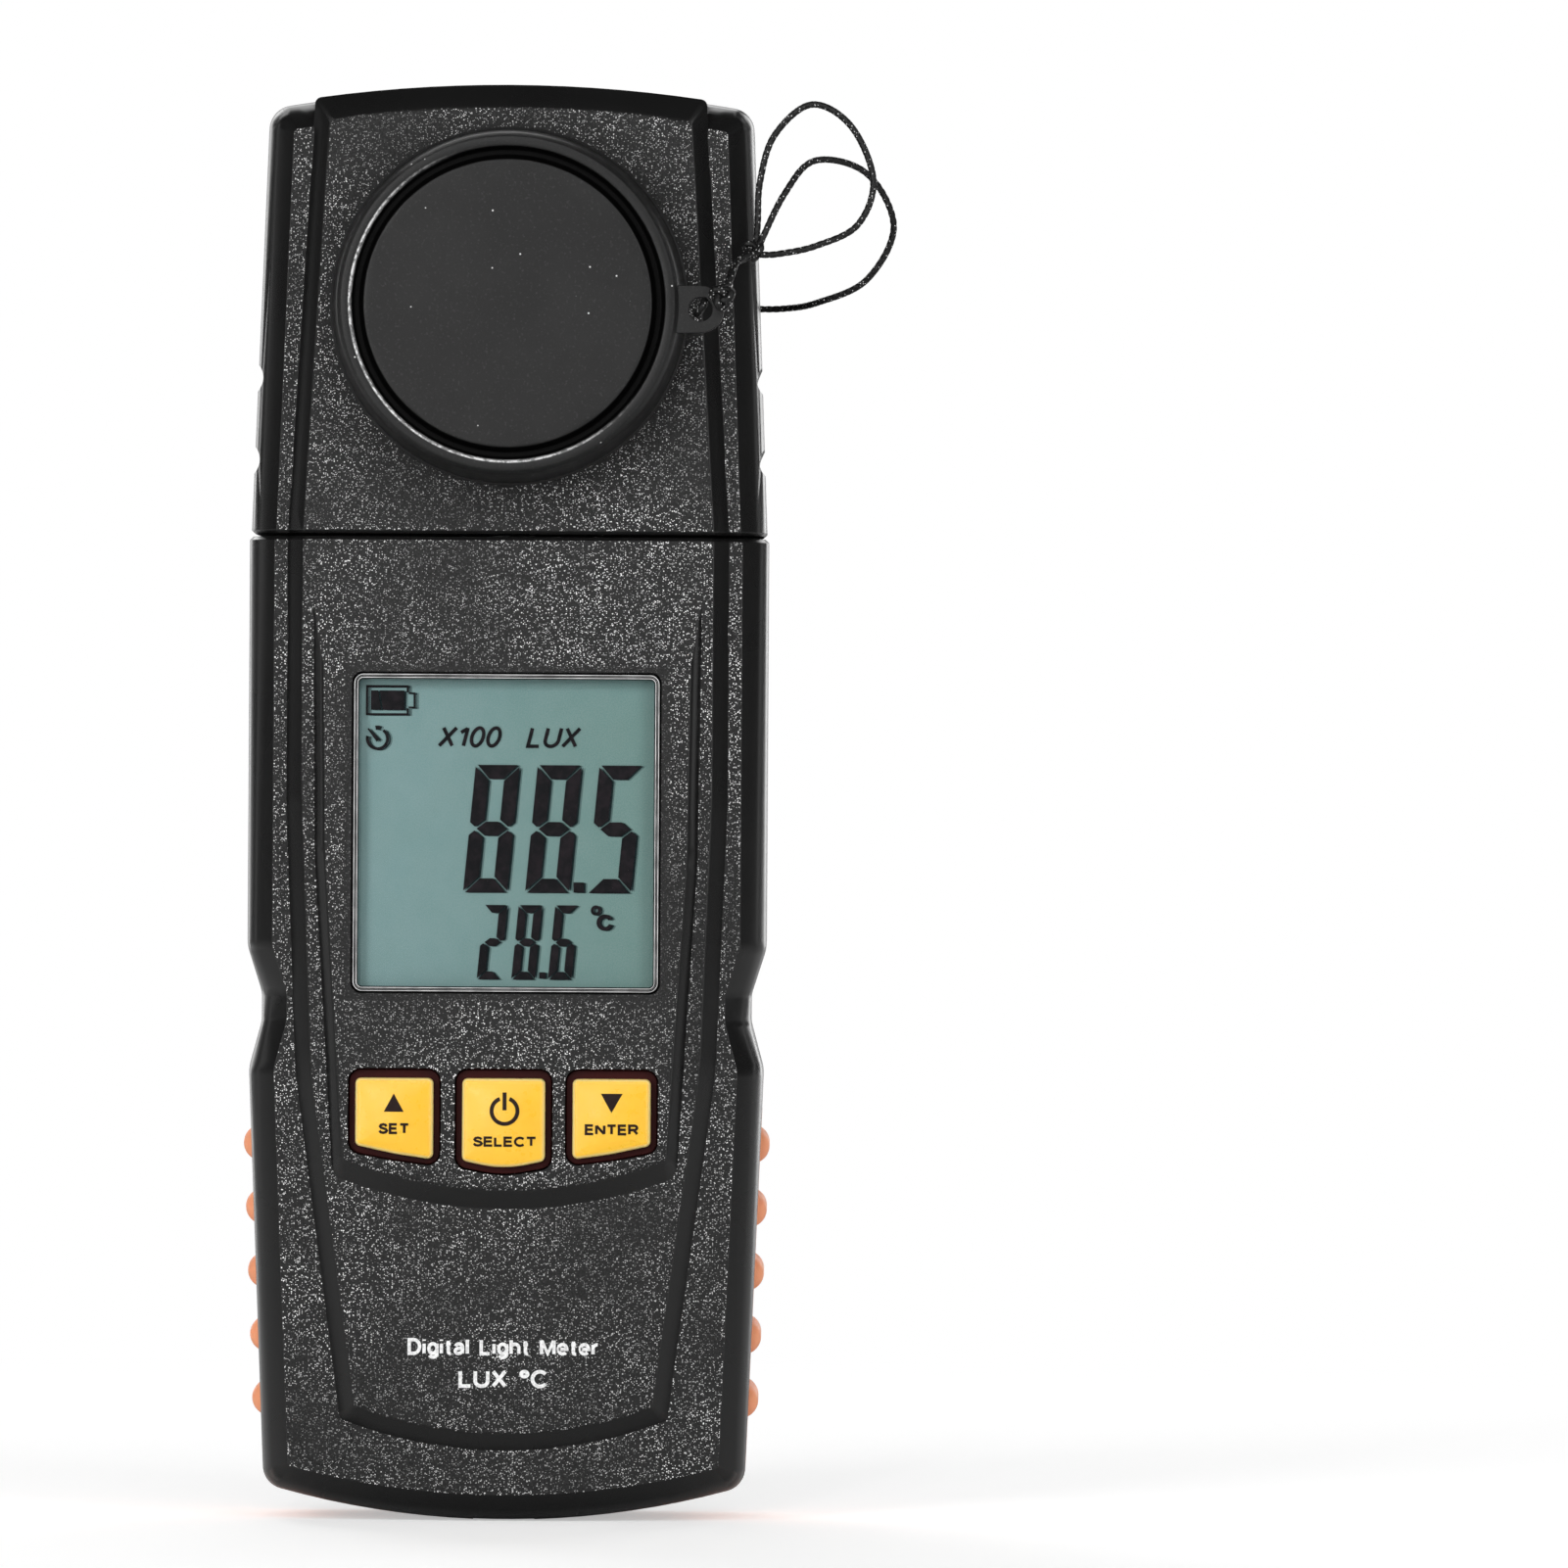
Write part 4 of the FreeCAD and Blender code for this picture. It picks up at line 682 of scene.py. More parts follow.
# Each letter: its width, then its pen strokes; the capitals' pen line runs from 0 to 1 in height.
LETTERS = {
    " ": (0.30, []),
    "0": (0.56, [ring(0.28, 0.5, 0.28, 0.5)]),
    "1": (0.34, [[(0.28, 0), (0.28, 1)], [(0.0, 0.74), (0.27, 0.95)]]),
    "C": (0.72, [arc(0.40, 0.5, 0.40, 0.5, 42, 318, 22)]),
    "D": (0.68, [[(0, 0), (0, 1), (0.30, 1)] + arc(0.30, 0.5, 0.38, 0.5, 90, -90) + [(0, 0)]]),
    "E": (0.62, [[(0.62, 0), (0, 0), (0, 1), (0.60, 1)], [(0, 0.52), (0.57, 0.52)]]),
    "L": (0.54, [[(0, 1), (0, 0), (0.54, 0)]]),
    "M": (0.82, [[(0, 0), (0, 1)], [(0.82, 0), (0.82, 1)], [(0.03, 0.97), (0.41, 0.02), (0.79, 0.97)]]),
    "N": (0.68, [[(0, 0), (0, 1)], [(0.68, 0), (0.68, 1)], [(0.02, 0.97), (0.66, 0.03)]]),
    "R": (0.70, [[(0, 0), (0, 1), (0.42, 1)] + arc(0.42, 0.75, 0.24, 0.25, 90, -90) + [(0, 0.50)], LEG_OF_R]),
    "S": (0.65, [S_CURVE]),
    "T": (0.72, [[(0, 1), (0.72, 1)], [(0.36, 1), (0.36, 0)]]),
    "U": (0.66, [[(0, 1)] + arc(0.33, 0.34, 0.33, 0.34, 180, 360) + [(0.66, 1)]]),
    "X": (0.70, [[(0.03, 0), (0.67, 1)], [(0.67, 0), (0.03, 1)]]),
    "a": (0.50, [arc(0.25, 0.48, 0.23, 0.23, 165, 0) + [(0.48, 0.0)],
                 [(0.48, 0.42), (0.22, 0.37)] + FOOT_OF_A + [(0.34, 0.03), (0.48, 0.16)]]),
    "e": (0.54, [[(0.02, 0.36), (0.54, 0.36)] + arc(0.27, 0.36, 0.27, 0.35, 0, 318, 20)]),
    "g": (0.52, [ring(0.26, 0.36, 0.26, 0.35), [(0.52, 0.71), (0.52, -0.04)] + TAIL_OF_G]),
    "h": (0.50, [[(0, 0), (0, 1)], arc(0.25, 0.44, 0.25, 0.27, 180, 0) + [(0.50, 0)]]),
    "i": (0.02, [[(0, 0), (0, 0.71)], [(0, 0.92), (0, 1.02)]]),
    "l": (0.02, [[(0, 0), (0, 1.02)]]),
    "r": (0.28, [[(0, 0), (0, 0.71)], arc(0.27, 0.42, 0.27, 0.28, 180, 82)]),
    "t": (0.30, [[(0.14, 0.93)] + arc(0.27, 0.13, 0.13, 0.13, 180, 290, 8), [(0, 0.69), (0.30, 0.69)]]),
    "°": (0.34, [ring(0.17, 0.83, 0.17, 0.17)]),
}


def pen_edges(path, width):
    """The two edges of a mitred pen stroke along a path, closed if it ends where it began."""
    path = np.array(path, float)
    path = path[np.append(True, np.linalg.norm(np.diff(path, axis=0), axis=1) > 1e-9)]
    closed = np.allclose(path[0], path[-1])
    after = np.diff(path, axis=0)
    after /= np.linalg.norm(after, axis=1)[:, None]
    before = np.vstack([after[-1:] if closed else after[:1], after])
    after = np.vstack([after, after[:1] if closed else after[-1:]])
    along = before + after
    along /= np.linalg.norm(along, axis=1)[:, None]
    reach = width / 2 / np.clip(np.sum(along * after, axis=1), 0.55, 1.0)
    side = np.column_stack([-along[:, 1], along[:, 0]]) * reach[:, None]
    return path + side, path - side


def lettering(name, text, area, thickness, front, depth, material, slot, body, slant=0.0):
    """Words in even pen strokes, fitted to area = (x0, x1, z0, z1), as thin solids on y = front(x, z)."""
    x0, x1, z0, z1 = area
    pen = thickness * (z1 - z0)
    tall = z1 - z0 - pen
    gap = 0.08 * tall
    natural = sum(LETTERS[c][0] for c in text)
    stretch = (x1 - x0 - pen * len(text) - gap * (len(text) - 1)) / natural
    points, faces = [], []
    left = x0 + pen / 2
    for letter in text:
        width, strokes = LETTERS[letter]
        for order, stroke in enumerate(strokes):
            path = [(left + u * stretch + slant * v * tall, z0 + pen / 2 + v * tall) for u, v in stroke]
            one, other = pen_edges(path, pen)
            first, count = len(points), len(one)
            lift = order * STROKE_LIFT
            for (ax, az), (bx, bz) in zip(one, other):
                near, far = front(ax, az) - lift, front(bx, bz) - lift
                points += [(ax, near, az), (bx, far, bz), (bx, far + depth, bz), (ax, near + depth, az)]
            for i in range(count - 1):
                a, b = first + 4 * i, first + 4 * (i + 1)
                faces += [(a + k, a + (k + 1) % 4, b + (k + 1) % 4, b + k) for k in range(4)]
            last = first + 4 * (count - 1)
            faces += [tuple(range(first, first + 4)), tuple(range(last + 3, last - 1, -1))]
        left += width * stretch + pen + gap
    return piece(name, points, faces, material, body, smooth=False)


PRINT_DEPTH = 0.03 * MM
STROKE_LIFT = 0.004 * MM
PRINT_LIFT = 0.012 * MM
KEY_PRINT_LIFT = 0.07 * MM
KEY_PRINT_DEPTH = 0.12 * MM


# ---- keys ---------------------------------------------------------------------------------------
class Key:
    """A domed silicone key whose outline is the CAD key's own rim."""

    COUNT = 168
    ROUNDING = [(0.0, 2.0), (0.0, 0.95), (0.03, 0.70), (0.10, 0.47), (0.22, 0.27), (0.38, 0.13), (0.58, 0.04)]
    DOME = 0.45 * MM
    RINGS = 20

    def __init__(self, name):
        self.name = name
        node = name + "_button"
        self.low, self.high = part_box(node)
        self.front = self.low.y
        spots = np.array([v.co for v in NODES[node].data.vertices], float)
        rim = spots[spots[:, 1] > self.high.y - 0.01 * MM][:, [0, 2]]
        hull = rim[convex_hull_2d([tuple(p) for p in rim])]
        self.outline = resampled(hull, self.COUNT)
        x, z = self.outline.T
        if np.sum(x * np.roll(z, -1) - np.roll(x, -1) * z) < 0:
            self.outline = self.outline[::-1]
        self.centre = (self.outline.max(0) + self.outline.min(0)) / 2
        self.edge = drawn_in(self.outline, self.ROUNDING[-1][0] * MM)
        spokes = self.edge - self.centre
        self.angles = np.arctan2(spokes[:, 1], spokes[:, 0])
        order = np.argsort(self.angles)
        self.angles = self.angles[order]
        self.reach = np.linalg.norm(spokes, axis=1)[order]

    def surface(self, x, z):
        """Depth of the print on the key's face at a place on it."""
        dx, dz = x - self.centre[0], z - self.centre[1]
        reach = np.interp(math.atan2(dz, dx), self.angles, self.reach, period=2 * math.pi)
        return self.crown(x, z, min(math.hypot(dx, dz) / reach, 1.0)) - KEY_PRINT_LIFT

    def crown(self, x, z, share):
        """Depth of the dome; share is 0 in the middle of the key and 1 along its edge."""
        u = (x - self.centre[0]) / (self.outline[:, 0].max() - self.centre[0])
        v = (z - self.centre[1]) / (self.outline[:, 1].max() - self.centre[1])
        rise = self.DOME * (1.0 - u**2) * (1.0 - v**2) * (1.0 - share**8)
        return self.front + self.ROUNDING[-1][1] * MM - rise

    def build(self):
        points = []
        for inset, depth in self.ROUNDING:
            for x, z in drawn_in(self.outline, inset * MM):
                points.append((x, self.front + depth * MM, z))
        for i in range(1, self.RINGS):
            share = 1.0 - i / self.RINGS
            for x, z in self.centre + (self.edge - self.centre) * share:
                points.append((x, self.crown(x, z, share), z))
        rings = len(self.ROUNDING) + self.RINGS - 1
        faces = [tuple(reversed(f)) for f in ring_faces(self.COUNT, rings)]
        middle = len(points)
        points.append((self.centre[0], self.crown(*self.centre, 0.0), self.centre[1]))
        last = (rings - 1) * self.COUNT
        for k in range(self.COUNT):
            faces.append((last + k, last + (k + 1) % self.COUNT, middle))
        faces.append(tuple(range(self.COUNT)))
        yellow = MATERIALS["key_yellow"]
        cap = piece(self.name + "_key_cap", points, faces, yellow, self.name + "_key")
        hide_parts(self.name + "_button")

    def at(self, x, z):
        """A place on the key given in millimetres from its top left corner."""
        return self.low.x + x * MM, self.high.z + z * MM

    def finish(self):
        """Material, slot and body of the print on the key."""
        return KEY_INK, "key_yellow", self.name + "_key"

    def label(self, text, x0, x1, z0, z1):
        left, low = self.at(x0, z0)
        right, high = self.at(x1, z1)
        area = (left, right, low, high)
        lettering(self.name + "_label", text, area, 0.23, self.surface, KEY_PRINT_DEPTH, *self.finish())

    def icon(self, outlines):
        """Printed marks from outlines in millimetres from the key's top left corner."""
        moved = [[self.at(x, z) for x, z in outline] for outline in outlines]
        plate(self.name + "_icon", moved, self.surface, KEY_PRINT_DEPTH, *self.finish())


def power_sign(x, z):
    """Ring open at the top with an upright bar."""
    outlines = [sector(x, z, 1.55, 2.1, 112, 270, 22), sector(x, z, 1.55, 2.1, 270, 428, 22)]
    return outlines + [bar(x - 0.28, x + 0.28, z + 0.1, z + 2.6)]


def build_keys():
    keys = {name: Key(name) for name in ("set", "select", "enter")}
    for key in keys.values():
        key.build()
    keys["set"].icon([[(4.05, -4.75), (6.85, -4.75), (5.45, -2.2)]])
    keys["set"].label("SET", 3.3, 7.7, -7.9, -6.35)
    keys["select"].icon(power_sign(6.0, -4.55))
    keys["select"].label("SELECT", 1.55, 10.55, -9.6, -8.15)
    keys["enter"].icon([[(4.0, -2.05), (5.5, -4.75), (7.05, -2.05)]])
    keys["enter"].label("ENTER", 1.75, 9.35, -7.9, -6.35)


# ---- display artwork ----------------------------------------------------------------------------
# The lit segments of each digit.
SEGMENTS = {"2": "abged", "5": "afgcd", "6": "afgcde", "8": "abcdefg"}


def segment_outlines(digit, x, z, width, height, thick, slope, gap):
    """Outlines of a seven-segment digit whose lower left corner is at (x, z); slope leans it to the right."""
    half = height / 2
    w, t, g = width, thick, gap
    r = t * 0.5
    shapes = {
        "a": [(g, height), (w - g, height), (w - t - g * 0.6, height - t), (t + g * 0.6, height - t)],
        "d": [(g, 0), (t + g * 0.6, t), (w - t - g * 0.6, t), (w - g, 0)],
        "g": [(r, half), (t + g, half + r), (w - t - g, half + r), (w - r, half), (w - t - g, half - r),
              (t + g, half - r)],
        "f": [
            (0, height - g), (t, height - t - g), (t, half + r + g), (r - g, half + g), (0, half + r * 0.9),
        ],
        "e": [(0, g), (0, half - r * 0.9), (r - g, half - g), (t, half - r - g), (t, t + g)],
    }
    shapes["b"] = [(w - px, pz) for px, pz in reversed(shapes["f"])]
    shapes["c"] = [(w - px, pz) for px, pz in reversed(shapes["e"])]
    return [[(x + px + pz * slope, z + pz) for px, pz in shapes[s]] for s in SEGMENTS[digit]]


def battery_sign():
    outlines = [
        bar(-19.9, -13.9, 20.45, 20.75),
        bar(-19.9, -13.9, 16.5, 16.8),
        bar(-19.9, -19.62, 16.8, 20.45),
        bar(-14.18, -13.9, 16.8, 17.5),
        bar(-14.18, -13.9, 19.75, 20.45),
        bar(-13.9, -12.95, 19.5, 19.75),
        bar(-13.9, -12.95, 17.5, 17.75),
        bar(-13.2, -12.95, 17.75, 19.5),
    ]
    lean = 0.45
    outlines.append([(-19.2, 17.25), (-17.75, 17.25), (-17.75 - lean, 20.0), (-19.2, 20.0)])
    outlines.append([(-17.52, 17.25), (-14.5, 17.25), (-14.5, 20.0), (-17.52 - lean, 20.0)])
    return outlines


def timer_sign(x, z):
    """Dial open at the top left with a hand, and a small stop at the top."""
    hand = [(x - 0.10, z - 0.45), (x + 0.28, z - 0.1), (x - 1.25, z + 1.5), (x - 1.4, z + 1.35)]
    return [
        sector(x, z, 1.22, 1.62, 165, 300, 20),
        sector(x, z, 1.22, 1.62, 300, 415, 20),
        sector(x, z, 1.25, 1.85, 78, 100, 5),
        hand,
    ]


def degree_sign():
    """Small ring followed by a heavy C."""
    return [
        sector(12.68, -10.85, 0.30, 0.72, 0, 180, 14),
        sector(12.68, -10.85, 0.30, 0.72, 180, 360, 14),
        sector(13.94, -12.55, 0.62, 1.16, 28, 180, 14),
        sector(13.94, -12.55, 0.62, 1.16, 180, 342, 14),
    ]


def display_outlines():
    """Every lit mark of the display, in millimetres from the window's middle."""
    slope = math.tan(math.radians(5.4))
    # Width, height, stroke, lean and gap of the digits.
    large = (6.2, 18.0, 2.0, slope, 0.26)
    small = (3.3, 10.5, 1.12, slope, 0.16)
    outlines = []
    for digit, x in zip("885", (-6.07, 2.67, 11.38)):
        outlines += segment_outlines(digit, x, -8.4, *large)
    outlines.append(bar(9.5, 10.95, -8.35, -6.9))
    for digit, x in zip("286", (-4.07, 0.81, 5.97)):
        outlines += segment_outlines(digit, x, -20.65, *small)
    outlines.append(bar(4.74, 5.6, -20.5, -19.6))
    return outlines + battery_sign() + timer_sign(-18.27, 13.2) + degree_sign()


def build_display():
    low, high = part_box("lcd_window")
    cx, cz = (low.x + high.x) / 2, (low.z + high.z) / 2
    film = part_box("lcd_glass")[0].y

    def placed(shift_x, shift_z):
        dx, dz = cx + shift_x * MM, cz + shift_z * MM
        return [[(dx + x * MM, dz + z * MM) for x, z in outline] for outline in display_outlines()]

    marks_lift = 0.14
    marks_front = film - marks_lift * MM
    # Each layer: its name, its shift to the right and up, its front and back before the film, its material.
    layers = [
        ("display_marks", 0.0, 0.0, marks_lift, 0.10, DISPLAY_INK),
        ("display_shade_near", 0.26, -0.05, 0.07, 0.06, NEAR_SHADE),
        ("display_shade_far", 0.52, -0.10, 0.03, 0.02, FAR_SHADE),
    ]
    for name, right, up, front, back, material in layers:
        plate(name, placed(right, up), film - front * MM, film - back * MM, material, "lcd_cell", "case")

    def words(name, text, x0, x1):
        area = (cx + x0 * MM, cx + x1 * MM, cz + 12.0 * MM, cz + 15.05 * MM)
        finish = (DISPLAY_INK, "lcd_cell", "case")
        lettering(name, text, area, 0.165, lambda x, z: marks_front, PRINT_DEPTH, *finish, slant=0.25)

    words("display_factor", "X100", -9.9, -1.1)
    words("display_unit", "LUX", 2.7, 10.0)


def rounded_rectangle(cx, cz, half_x, half_z, radius, steps=9):
    points = []
    for sx, sz, start in ((1, 1, 0), (-1, 1, 90), (-1, -1, 180), (1, -1, 270)):
        for angle in np.radians(np.linspace(start, start + 90, steps)):
            x = cx + sx * (half_x - radius) + radius * math.cos(angle)
            z = cz + sz * (half_z - radius) + radius * math.sin(angle)
            points.append((x, z))
    return np.array(points)


def build_window_edge():
    """Moulded rim of the pane: two fine beads with a groove between them."""
    low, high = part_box("lcd_window")
    cx, cz = (low.x + high.x) / 2, (low.z + high.z) / 2
    half_x, half_z = (high.x - low.x) / 2, (high.z - low.z) / 2
    steps, roundness = 24, 0.8
    outer, width, groove, rise, root = 0.04, 0.86, 0.10, 0.22, 0.22 * MM
    pane_corner, least_corner = 1.5 * MM, 0.35 * MM
    profile = []
    for step in range(steps + 1):
        share = step / steps
        lift = abs(math.sin(share * 2 * math.pi)) ** roundness
        profile.append(((outer + width * share) * MM, low.y + (groove - rise * lift) * MM))
    profile += [((outer + width) * MM, low.y + root), (outer * MM, low.y + root)]
    rings = []
    for inset, y in profile:
        corner = max(pane_corner - inset, least_corner)
        outline = rounded_rectangle(cx, cz, half_x - inset, half_z - inset, corner)
        rings.append([(x, y, z) for x, z in outline])
    points = [point for each in rings for point in each]
    faces = [tuple(reversed(f)) for f in ring_faces(len(rings[0]), len(rings), closed=True)]
    piece("window_edge", points, faces, LENS_EDGE, "case")


# ---- print on the case --------------------------------------------------------------------------
def build_print():
    """Two generic printed lines below the keys."""
    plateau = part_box("head_front_shell")[0].y
    middle = sum(corner.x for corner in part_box("lcd_window")) / 2
    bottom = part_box("body_front_shell")[0].z

    def line(name, text, half, low, high):
        area = (middle - half * MM, middle + half * MM, bottom + low * MM, bottom + high * MM)
        finish = (CASE_INK, "case_plastic", "case")
        lettering(name, text, area, 0.20, lambda x, z: plateau - PRINT_LIFT, PRINT_DEPTH, *finish)

    line("print_title", "Digital Light Meter", 13.5, 23.6, 26.0)
    line("print_units", "LUX °C", 6.3, 19.0, 21.6)


# ---- cord ---------------------------------------------------------------------------------------
CORD_RADIUS = 0.47 * MM
CORD_SIDES = 20
CORD_STEP = 0.11 * MM
BRAID_PITCH = 2.3 * MM
BRAID_STRANDS = 4


def spline(points, step):
    """Points at even steps along a smooth curve through the given points."""
    p = np.array(points, float)
    ends = np.vstack([2 * p[0] - p[1], p, 2 * p[-1] - p[-2]])
    dense = []
    for i in range(1, len(ends) - 2):
        a, b, c, d = ends[i - 1 : i + 3]
        for t in np.linspace(0, 1, 40, endpoint=False):
            dense.append(
                0.5 * (2 * b + (c - a) * t + (2 * a - 5 * b + 4 * c - d) * t**2
                       + (3 * b - a - 3 * c + d) * t**3)
            )
    dense.append(ends[-2])
    dense = np.array(dense)
    along = np.concatenate([[0.0], np.cumsum(np.linalg.norm(np.diff(dense, axis=0), axis=1))])
    wanted = np.arange(0.0, along[-1], step)
    return np.column_stack([np.interp(wanted, along, dense[:, i]) for i in range(3)])


def braided(name, path, radius):
    """Braided tube along a path: two crossing families of strands raise the surface."""
    count = len(path)
    tangent = np.gradient(path, axis=0)
    tangent /= np.linalg.norm(tangent, axis=1)[:, None]
    side = np.cross(tangent[0], (0.0, 0.0, 1.0))
    side /= np.linalg.norm(side)
    points = []
    for i in range(count):
        side = side - tangent[i] * np.dot(side, tangent[i])
        side /= np.linalg.norm(side)
        other = np.cross(tangent[i], side)
        turn = 2 * math.pi * i * CORD_STEP / BRAID_PITCH
        for k in range(CORD_SIDES):
            angle = 2 * math.pi * k / CORD_SIDES
            rising = abs(math.cos((BRAID_STRANDS * angle + turn * 2) / 2))
            falling = abs(math.cos((BRAID_STRANDS * angle - turn * 2) / 2))
            reach = radius * (0.84 + 0.18 * max(rising, falling) ** 2)
            points.append(path[i] + (side * math.cos(angle) + other * math.sin(angle)) * reach)
    faces = [tuple(reversed(f)) for f in ring_faces(CORD_SIDES, count)]
    faces.append(tuple(range(CORD_SIDES)))
    faces.append(tuple(range(count * CORD_SIDES - 1, (count - 1) * CORD_SIDES - 1, -1)))
    return piece(name, points, faces, MATERIALS["cord_braid"])


def twisted_pair(start, end, turns, offset, phase):
    """One of two strands that wind round each other from start to end."""
    start, end = np.array(start), np.array(end)
    axis = (end - start) / np.linalg.norm(end - start)
    side = np.cross(axis, (0.0, 1.0, 0.0))
    side /= np.linalg.norm(side)
    other = np.cross(axis, side)
    points = []
    for t in np.linspace(0.0, 1.0, 13):
        angle = 2 * math.pi * turns * t + phase
        points.append(start + (end - start) * t + (side * math.cos(angle) + other * math.sin(angle)) * offset)
    return [tuple(p) for p in points]


def build_cord():
    """One cord from the head's side hole to a knot, to the cap's lug and back, and round a free loop."""
    # Places are in mm from the low corner of the box round the CAD cord.
    corner = np.array(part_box("cap_cord")[0])
    knot_size, hitch_size, hitch_thickness, straight_end = 0.42, 0.50, 1.15, 0.12
    lug = (1.05, 2.78, 1.34)
    knot = (7.25, 13.28, 8.74)
    hitch = (2.95, 0.48, 1.54)
    anchored = [(6.15, 38.88, 1.44), (11.55, 37.08, 1.44), (16.45, 31.88, 2.14), (23.35, 27.88, 5.24)]
    anchored += [(27.15, 24.38, 12.64), (23.25, 21.38, 20.04), (15.95, 17.88, 21.64), (11.55, 14.88, 16.64)]
    to_lug = twisted_pair(knot, lug, 1.4, 0.50, 0.4)
    through = [(0.25, 0.88, 0.34), (-0.35, 1.58, -0.56), (-0.55, 2.78, -0.76), (-0.35, 3.98, -0.56)]
    through += [(0.35, 4.68, 0.44)]
    back = twisted_pair(lug, knot, -1.4, 0.50, 2 * math.pi * 1.4 + 0.4 + math.pi)
    free = [(7.85, 14.48, 12.44), (8.15, 15.08, 18.44), (10.15, 15.48, 25.04), (15.35, 15.88, 29.44)]
    free += [(20.95, 15.88, 26.44), (24.15, 15.68, 18.84), (21.95, 15.28, 12.44), (16.15, 14.48, 9.44)]
    free += [(10.95, 13.88, 8.24), (8.15, 13.28, 8.04)]
    route = anchored + to_lug + through + back + free
    path = spline([corner + np.array(place) * MM for place in route], CORD_STEP)
    cord = braided("cap_cord_braid", path, CORD_RADIUS)
    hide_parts("cap_cord")
    turns = np.linspace(0.0, 2 * math.pi, 60)
    loops = np.column_stack([
        np.sin(turns) + 2 * np.sin(2 * turns),
        -0.9 * np.sin(3 * turns),
        np.cos(turns) - 2 * np.cos(2 * turns),
    ])
    knot_path = spline(corner + (loops * knot_size + np.array(knot)) * MM, CORD_STEP)
    knot_piece = braided("cap_cord_knot", knot_path, CORD_RADIUS)
    hitch_path = spline(corner + (loops * hitch_size + np.array(hitch)) * MM, CORD_STEP)
    hitch_piece = braided("cap_cord_hitch", hitch_path, hitch_thickness * CORD_RADIUS)
    for item in (cord, knot_piece, hitch_piece):
        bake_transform(item)


# ---- studio -------------------------------------------------------------------------------------
def soft_light(name, place, target, size_x, size_y, radiance):
    """A rectangular lamp that looks at a target, with its strength given as the brightness of its face."""
    lamp = bpy.data.lights.new(name, "AREA")
    lamp.shape = "RECTANGLE"
    lamp.size, lamp.size_y = size_x, size_y
    lamp.energy = radiance * math.pi * size_x * size_y
    item = bpy.data.objects.new(name, lamp)
    item.location = place
    item.rotation_mode = "QUATERNION"
    item.rotation_quaternion = (target - place).to_track_quat("-Z", "Y")
    bpy.context.scene.collection.objects.link(item)


def around(centre, azimuth, elevation, distance):
    """A place round the object: azimuth 0 in front of it and positive to the right, in degrees."""
    a, e = math.radians(azimuth), math.radians(elevation)
    direction = Vector((math.sin(a) * math.cos(e), -math.cos(a) * math.cos(e), math.sin(e)))
    return centre + direction * distance


# Name, azimuth, elevation and distance of each lamp, then its width, height and brightness.
LAMPS = [
    ("key_left", -34, 10, 1.3, 0.40, 1.0, 8.0),
    ("key_right", 40, 8, 1.3, 0.45, 1.0, 5.0),
    ("streak_left", -9, 4, 1.3, 0.05, 0.8, 24.0),
    ("side_left", -105, 6, 1.4, 0.25, 1.0, 0.9),
    ("side_right", 112, 6, 1.4, 0.25, 1.0, 0.9),
    ("top", 5, 33, 1.2, 0.9, 0.35, 3.5),
    ("rim_right", 150, 10, 1.2, 0.5, 1.2, 3.0),
    ("rim_left", -150, 10, 1.2, 0.5, 1.2, 2.0),
    ("back_fill", 195, 38, 1.6, 1.2, 1.0, 2.2),
]


def build_studio():
    centre = (cad_low + cad_high) / 2
    for name, azimuth, elevation, distance, wide, tall, radiance in LAMPS:
        soft_light(name, around(centre, azimuth, elevation, distance), centre, wide, tall, radiance)
    build_world()
    build_floor(centre)
    build_camera(centre)
    bpy.context.scene.view_settings.view_transform = "Standard"


def build_world():
    """White paper behind the object, and a dim room in every reflection."""
    world = bpy.data.worlds.new("studio")
    bpy.context.scene.world = world
    world.use_nodes = True
    tree = world.node_tree
    tree.nodes.clear()
    output = tree.nodes.new("ShaderNodeOutputWorld")
    rays = tree.nodes.new("ShaderNodeLightPath")
    seen = tree.nodes.new("ShaderNodeBackground")
    seen.inputs["Color"].default_value = grey(1.0)
    room = tree.nodes.new("ShaderNodeBackground")
    room.inputs["Color"].default_value = grey(0.07)
    mix = tree.nodes.new("ShaderNodeMixShader")
    tree.links.new(rays.outputs["Is Camera Ray"], mix.inputs["Fac"])
    tree.links.new(room.outputs[0], mix.inputs[1])
    tree.links.new(seen.outputs[0], mix.inputs[2])
    tree.links.new(mix.outputs[0], output.inputs["Surface"])


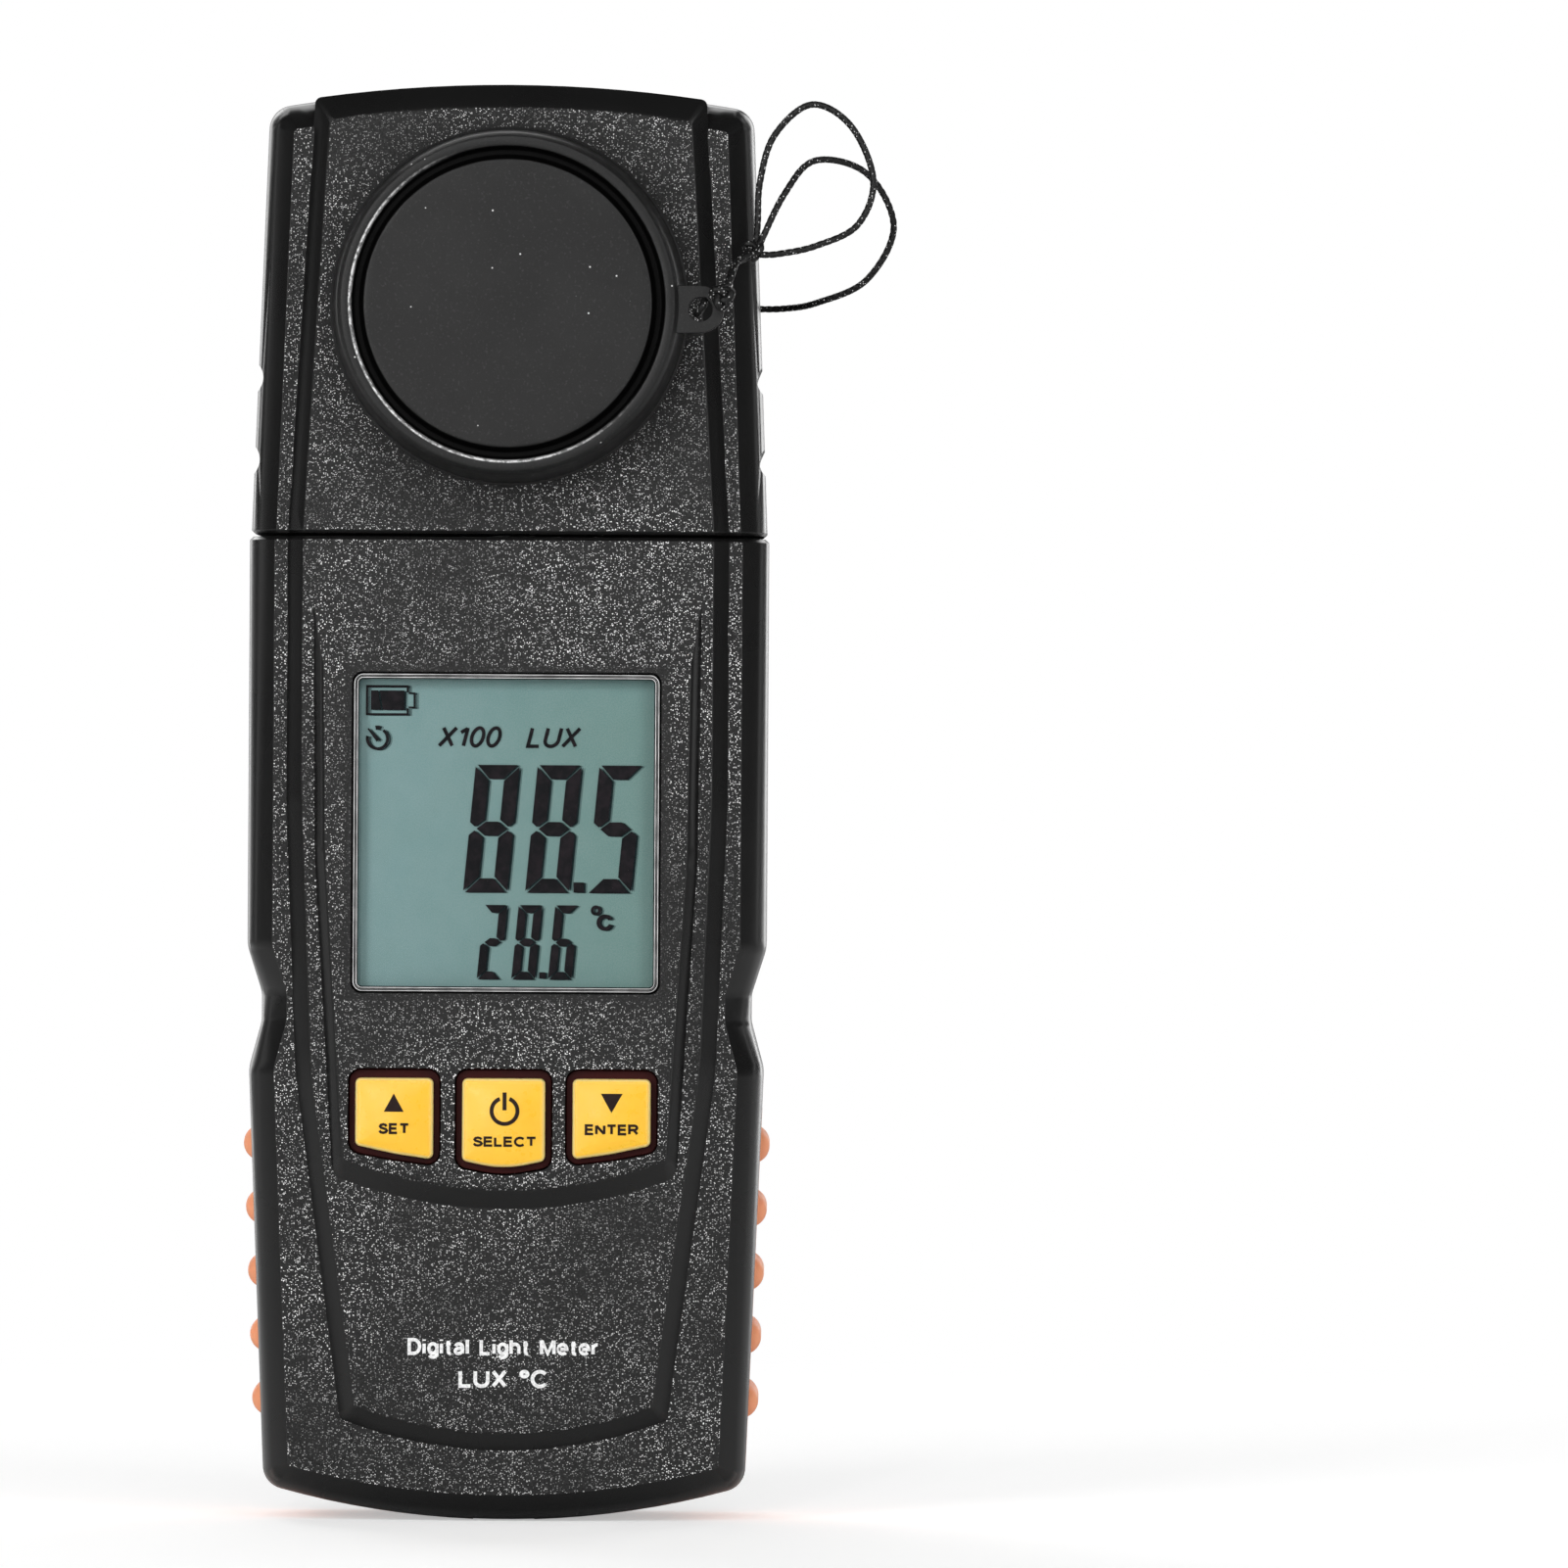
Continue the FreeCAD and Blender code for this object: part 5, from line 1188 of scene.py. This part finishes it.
def build_floor(centre):
    """Pale floor that takes a soft shadow near the object and fades to the white of the backdrop."""
    m = Material("floor_paper")
    offset = m.add("ShaderNodeVectorMath", operation="DISTANCE")
    m.feed(offset.inputs[0], m.place)
    m.feed(offset.inputs[1], (centre.x, centre.y, cad_low.z))
    fade = m.stretch(offset.outputs["Value"], 0.12, 0.45)
    fibre = m.patches(420.0, 4.0, 0.3, 0.7)
    tone = m.blend(fibre, grey(0.80), grey(0.84))
    paper = m.add("ShaderNodeBsdfDiffuse", {"Color": tone, "Normal": m.bump(fibre, 0.02 * MM)}).outputs[0]
    glow = m.add("ShaderNodeEmission", {"Color": grey(1.0), "Strength": 0.42}).outputs[0]
    near = m.add("ShaderNodeAddShader")
    m.tree.links.new(paper, near.inputs[0])
    m.tree.links.new(glow, near.inputs[1])
    white = m.add("ShaderNodeEmission", {"Color": grey(1.0), "Strength": 1.0}).outputs[0]
    rays = m.add("ShaderNodeLightPath").outputs["Is Camera Ray"]
    far = m.add("ShaderNodeMixShader", {"Fac": fade})
    m.tree.links.new(near.outputs[0], far.inputs[1])
    m.tree.links.new(white, far.inputs[2])
    m.mixed(rays, paper, far.outputs[0])
    reach, level = 4.0, cad_low.z - 0.05 * MM
    mesh = bpy.data.meshes.new("floor")
    corners = [(-reach, -reach, level), (reach, -reach, level), (reach, reach, level), (-reach, reach, level)]
    mesh.from_pydata(corners, [], [(0, 1, 2, 3)])
    mesh.materials.append(m.data)
    floor = bpy.data.objects.new("floor", mesh)
    bpy.context.scene.collection.objects.link(floor)


def build_camera(centre):
    """Long lens square to the display, with the meter at the left of the picture."""
    distance, width, sensor = 1.65, 221.1 * MM, 36.0
    right, up, roll = 30.4 * MM, 3.01 * MM, math.radians(0.35)
    lens = bpy.data.cameras.new("camera")
    lens.sensor_width = sensor
    lens.lens = sensor * distance / width
    lens.clip_start, lens.clip_end = 0.05, 20.0
    camera = bpy.data.objects.new("camera", lens)
    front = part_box("head_front_shell")[0].y
    camera.location = (centre.x + right, front - distance, centre.z + up)
    camera.rotation_euler = (math.radians(90), -roll, 0.0)
    bpy.context.scene.collection.objects.link(camera)
    bpy.context.scene.camera = camera


dress_nodes()
build_keys()
build_display()
build_window_edge()
build_print()
build_cord()
build_studio()
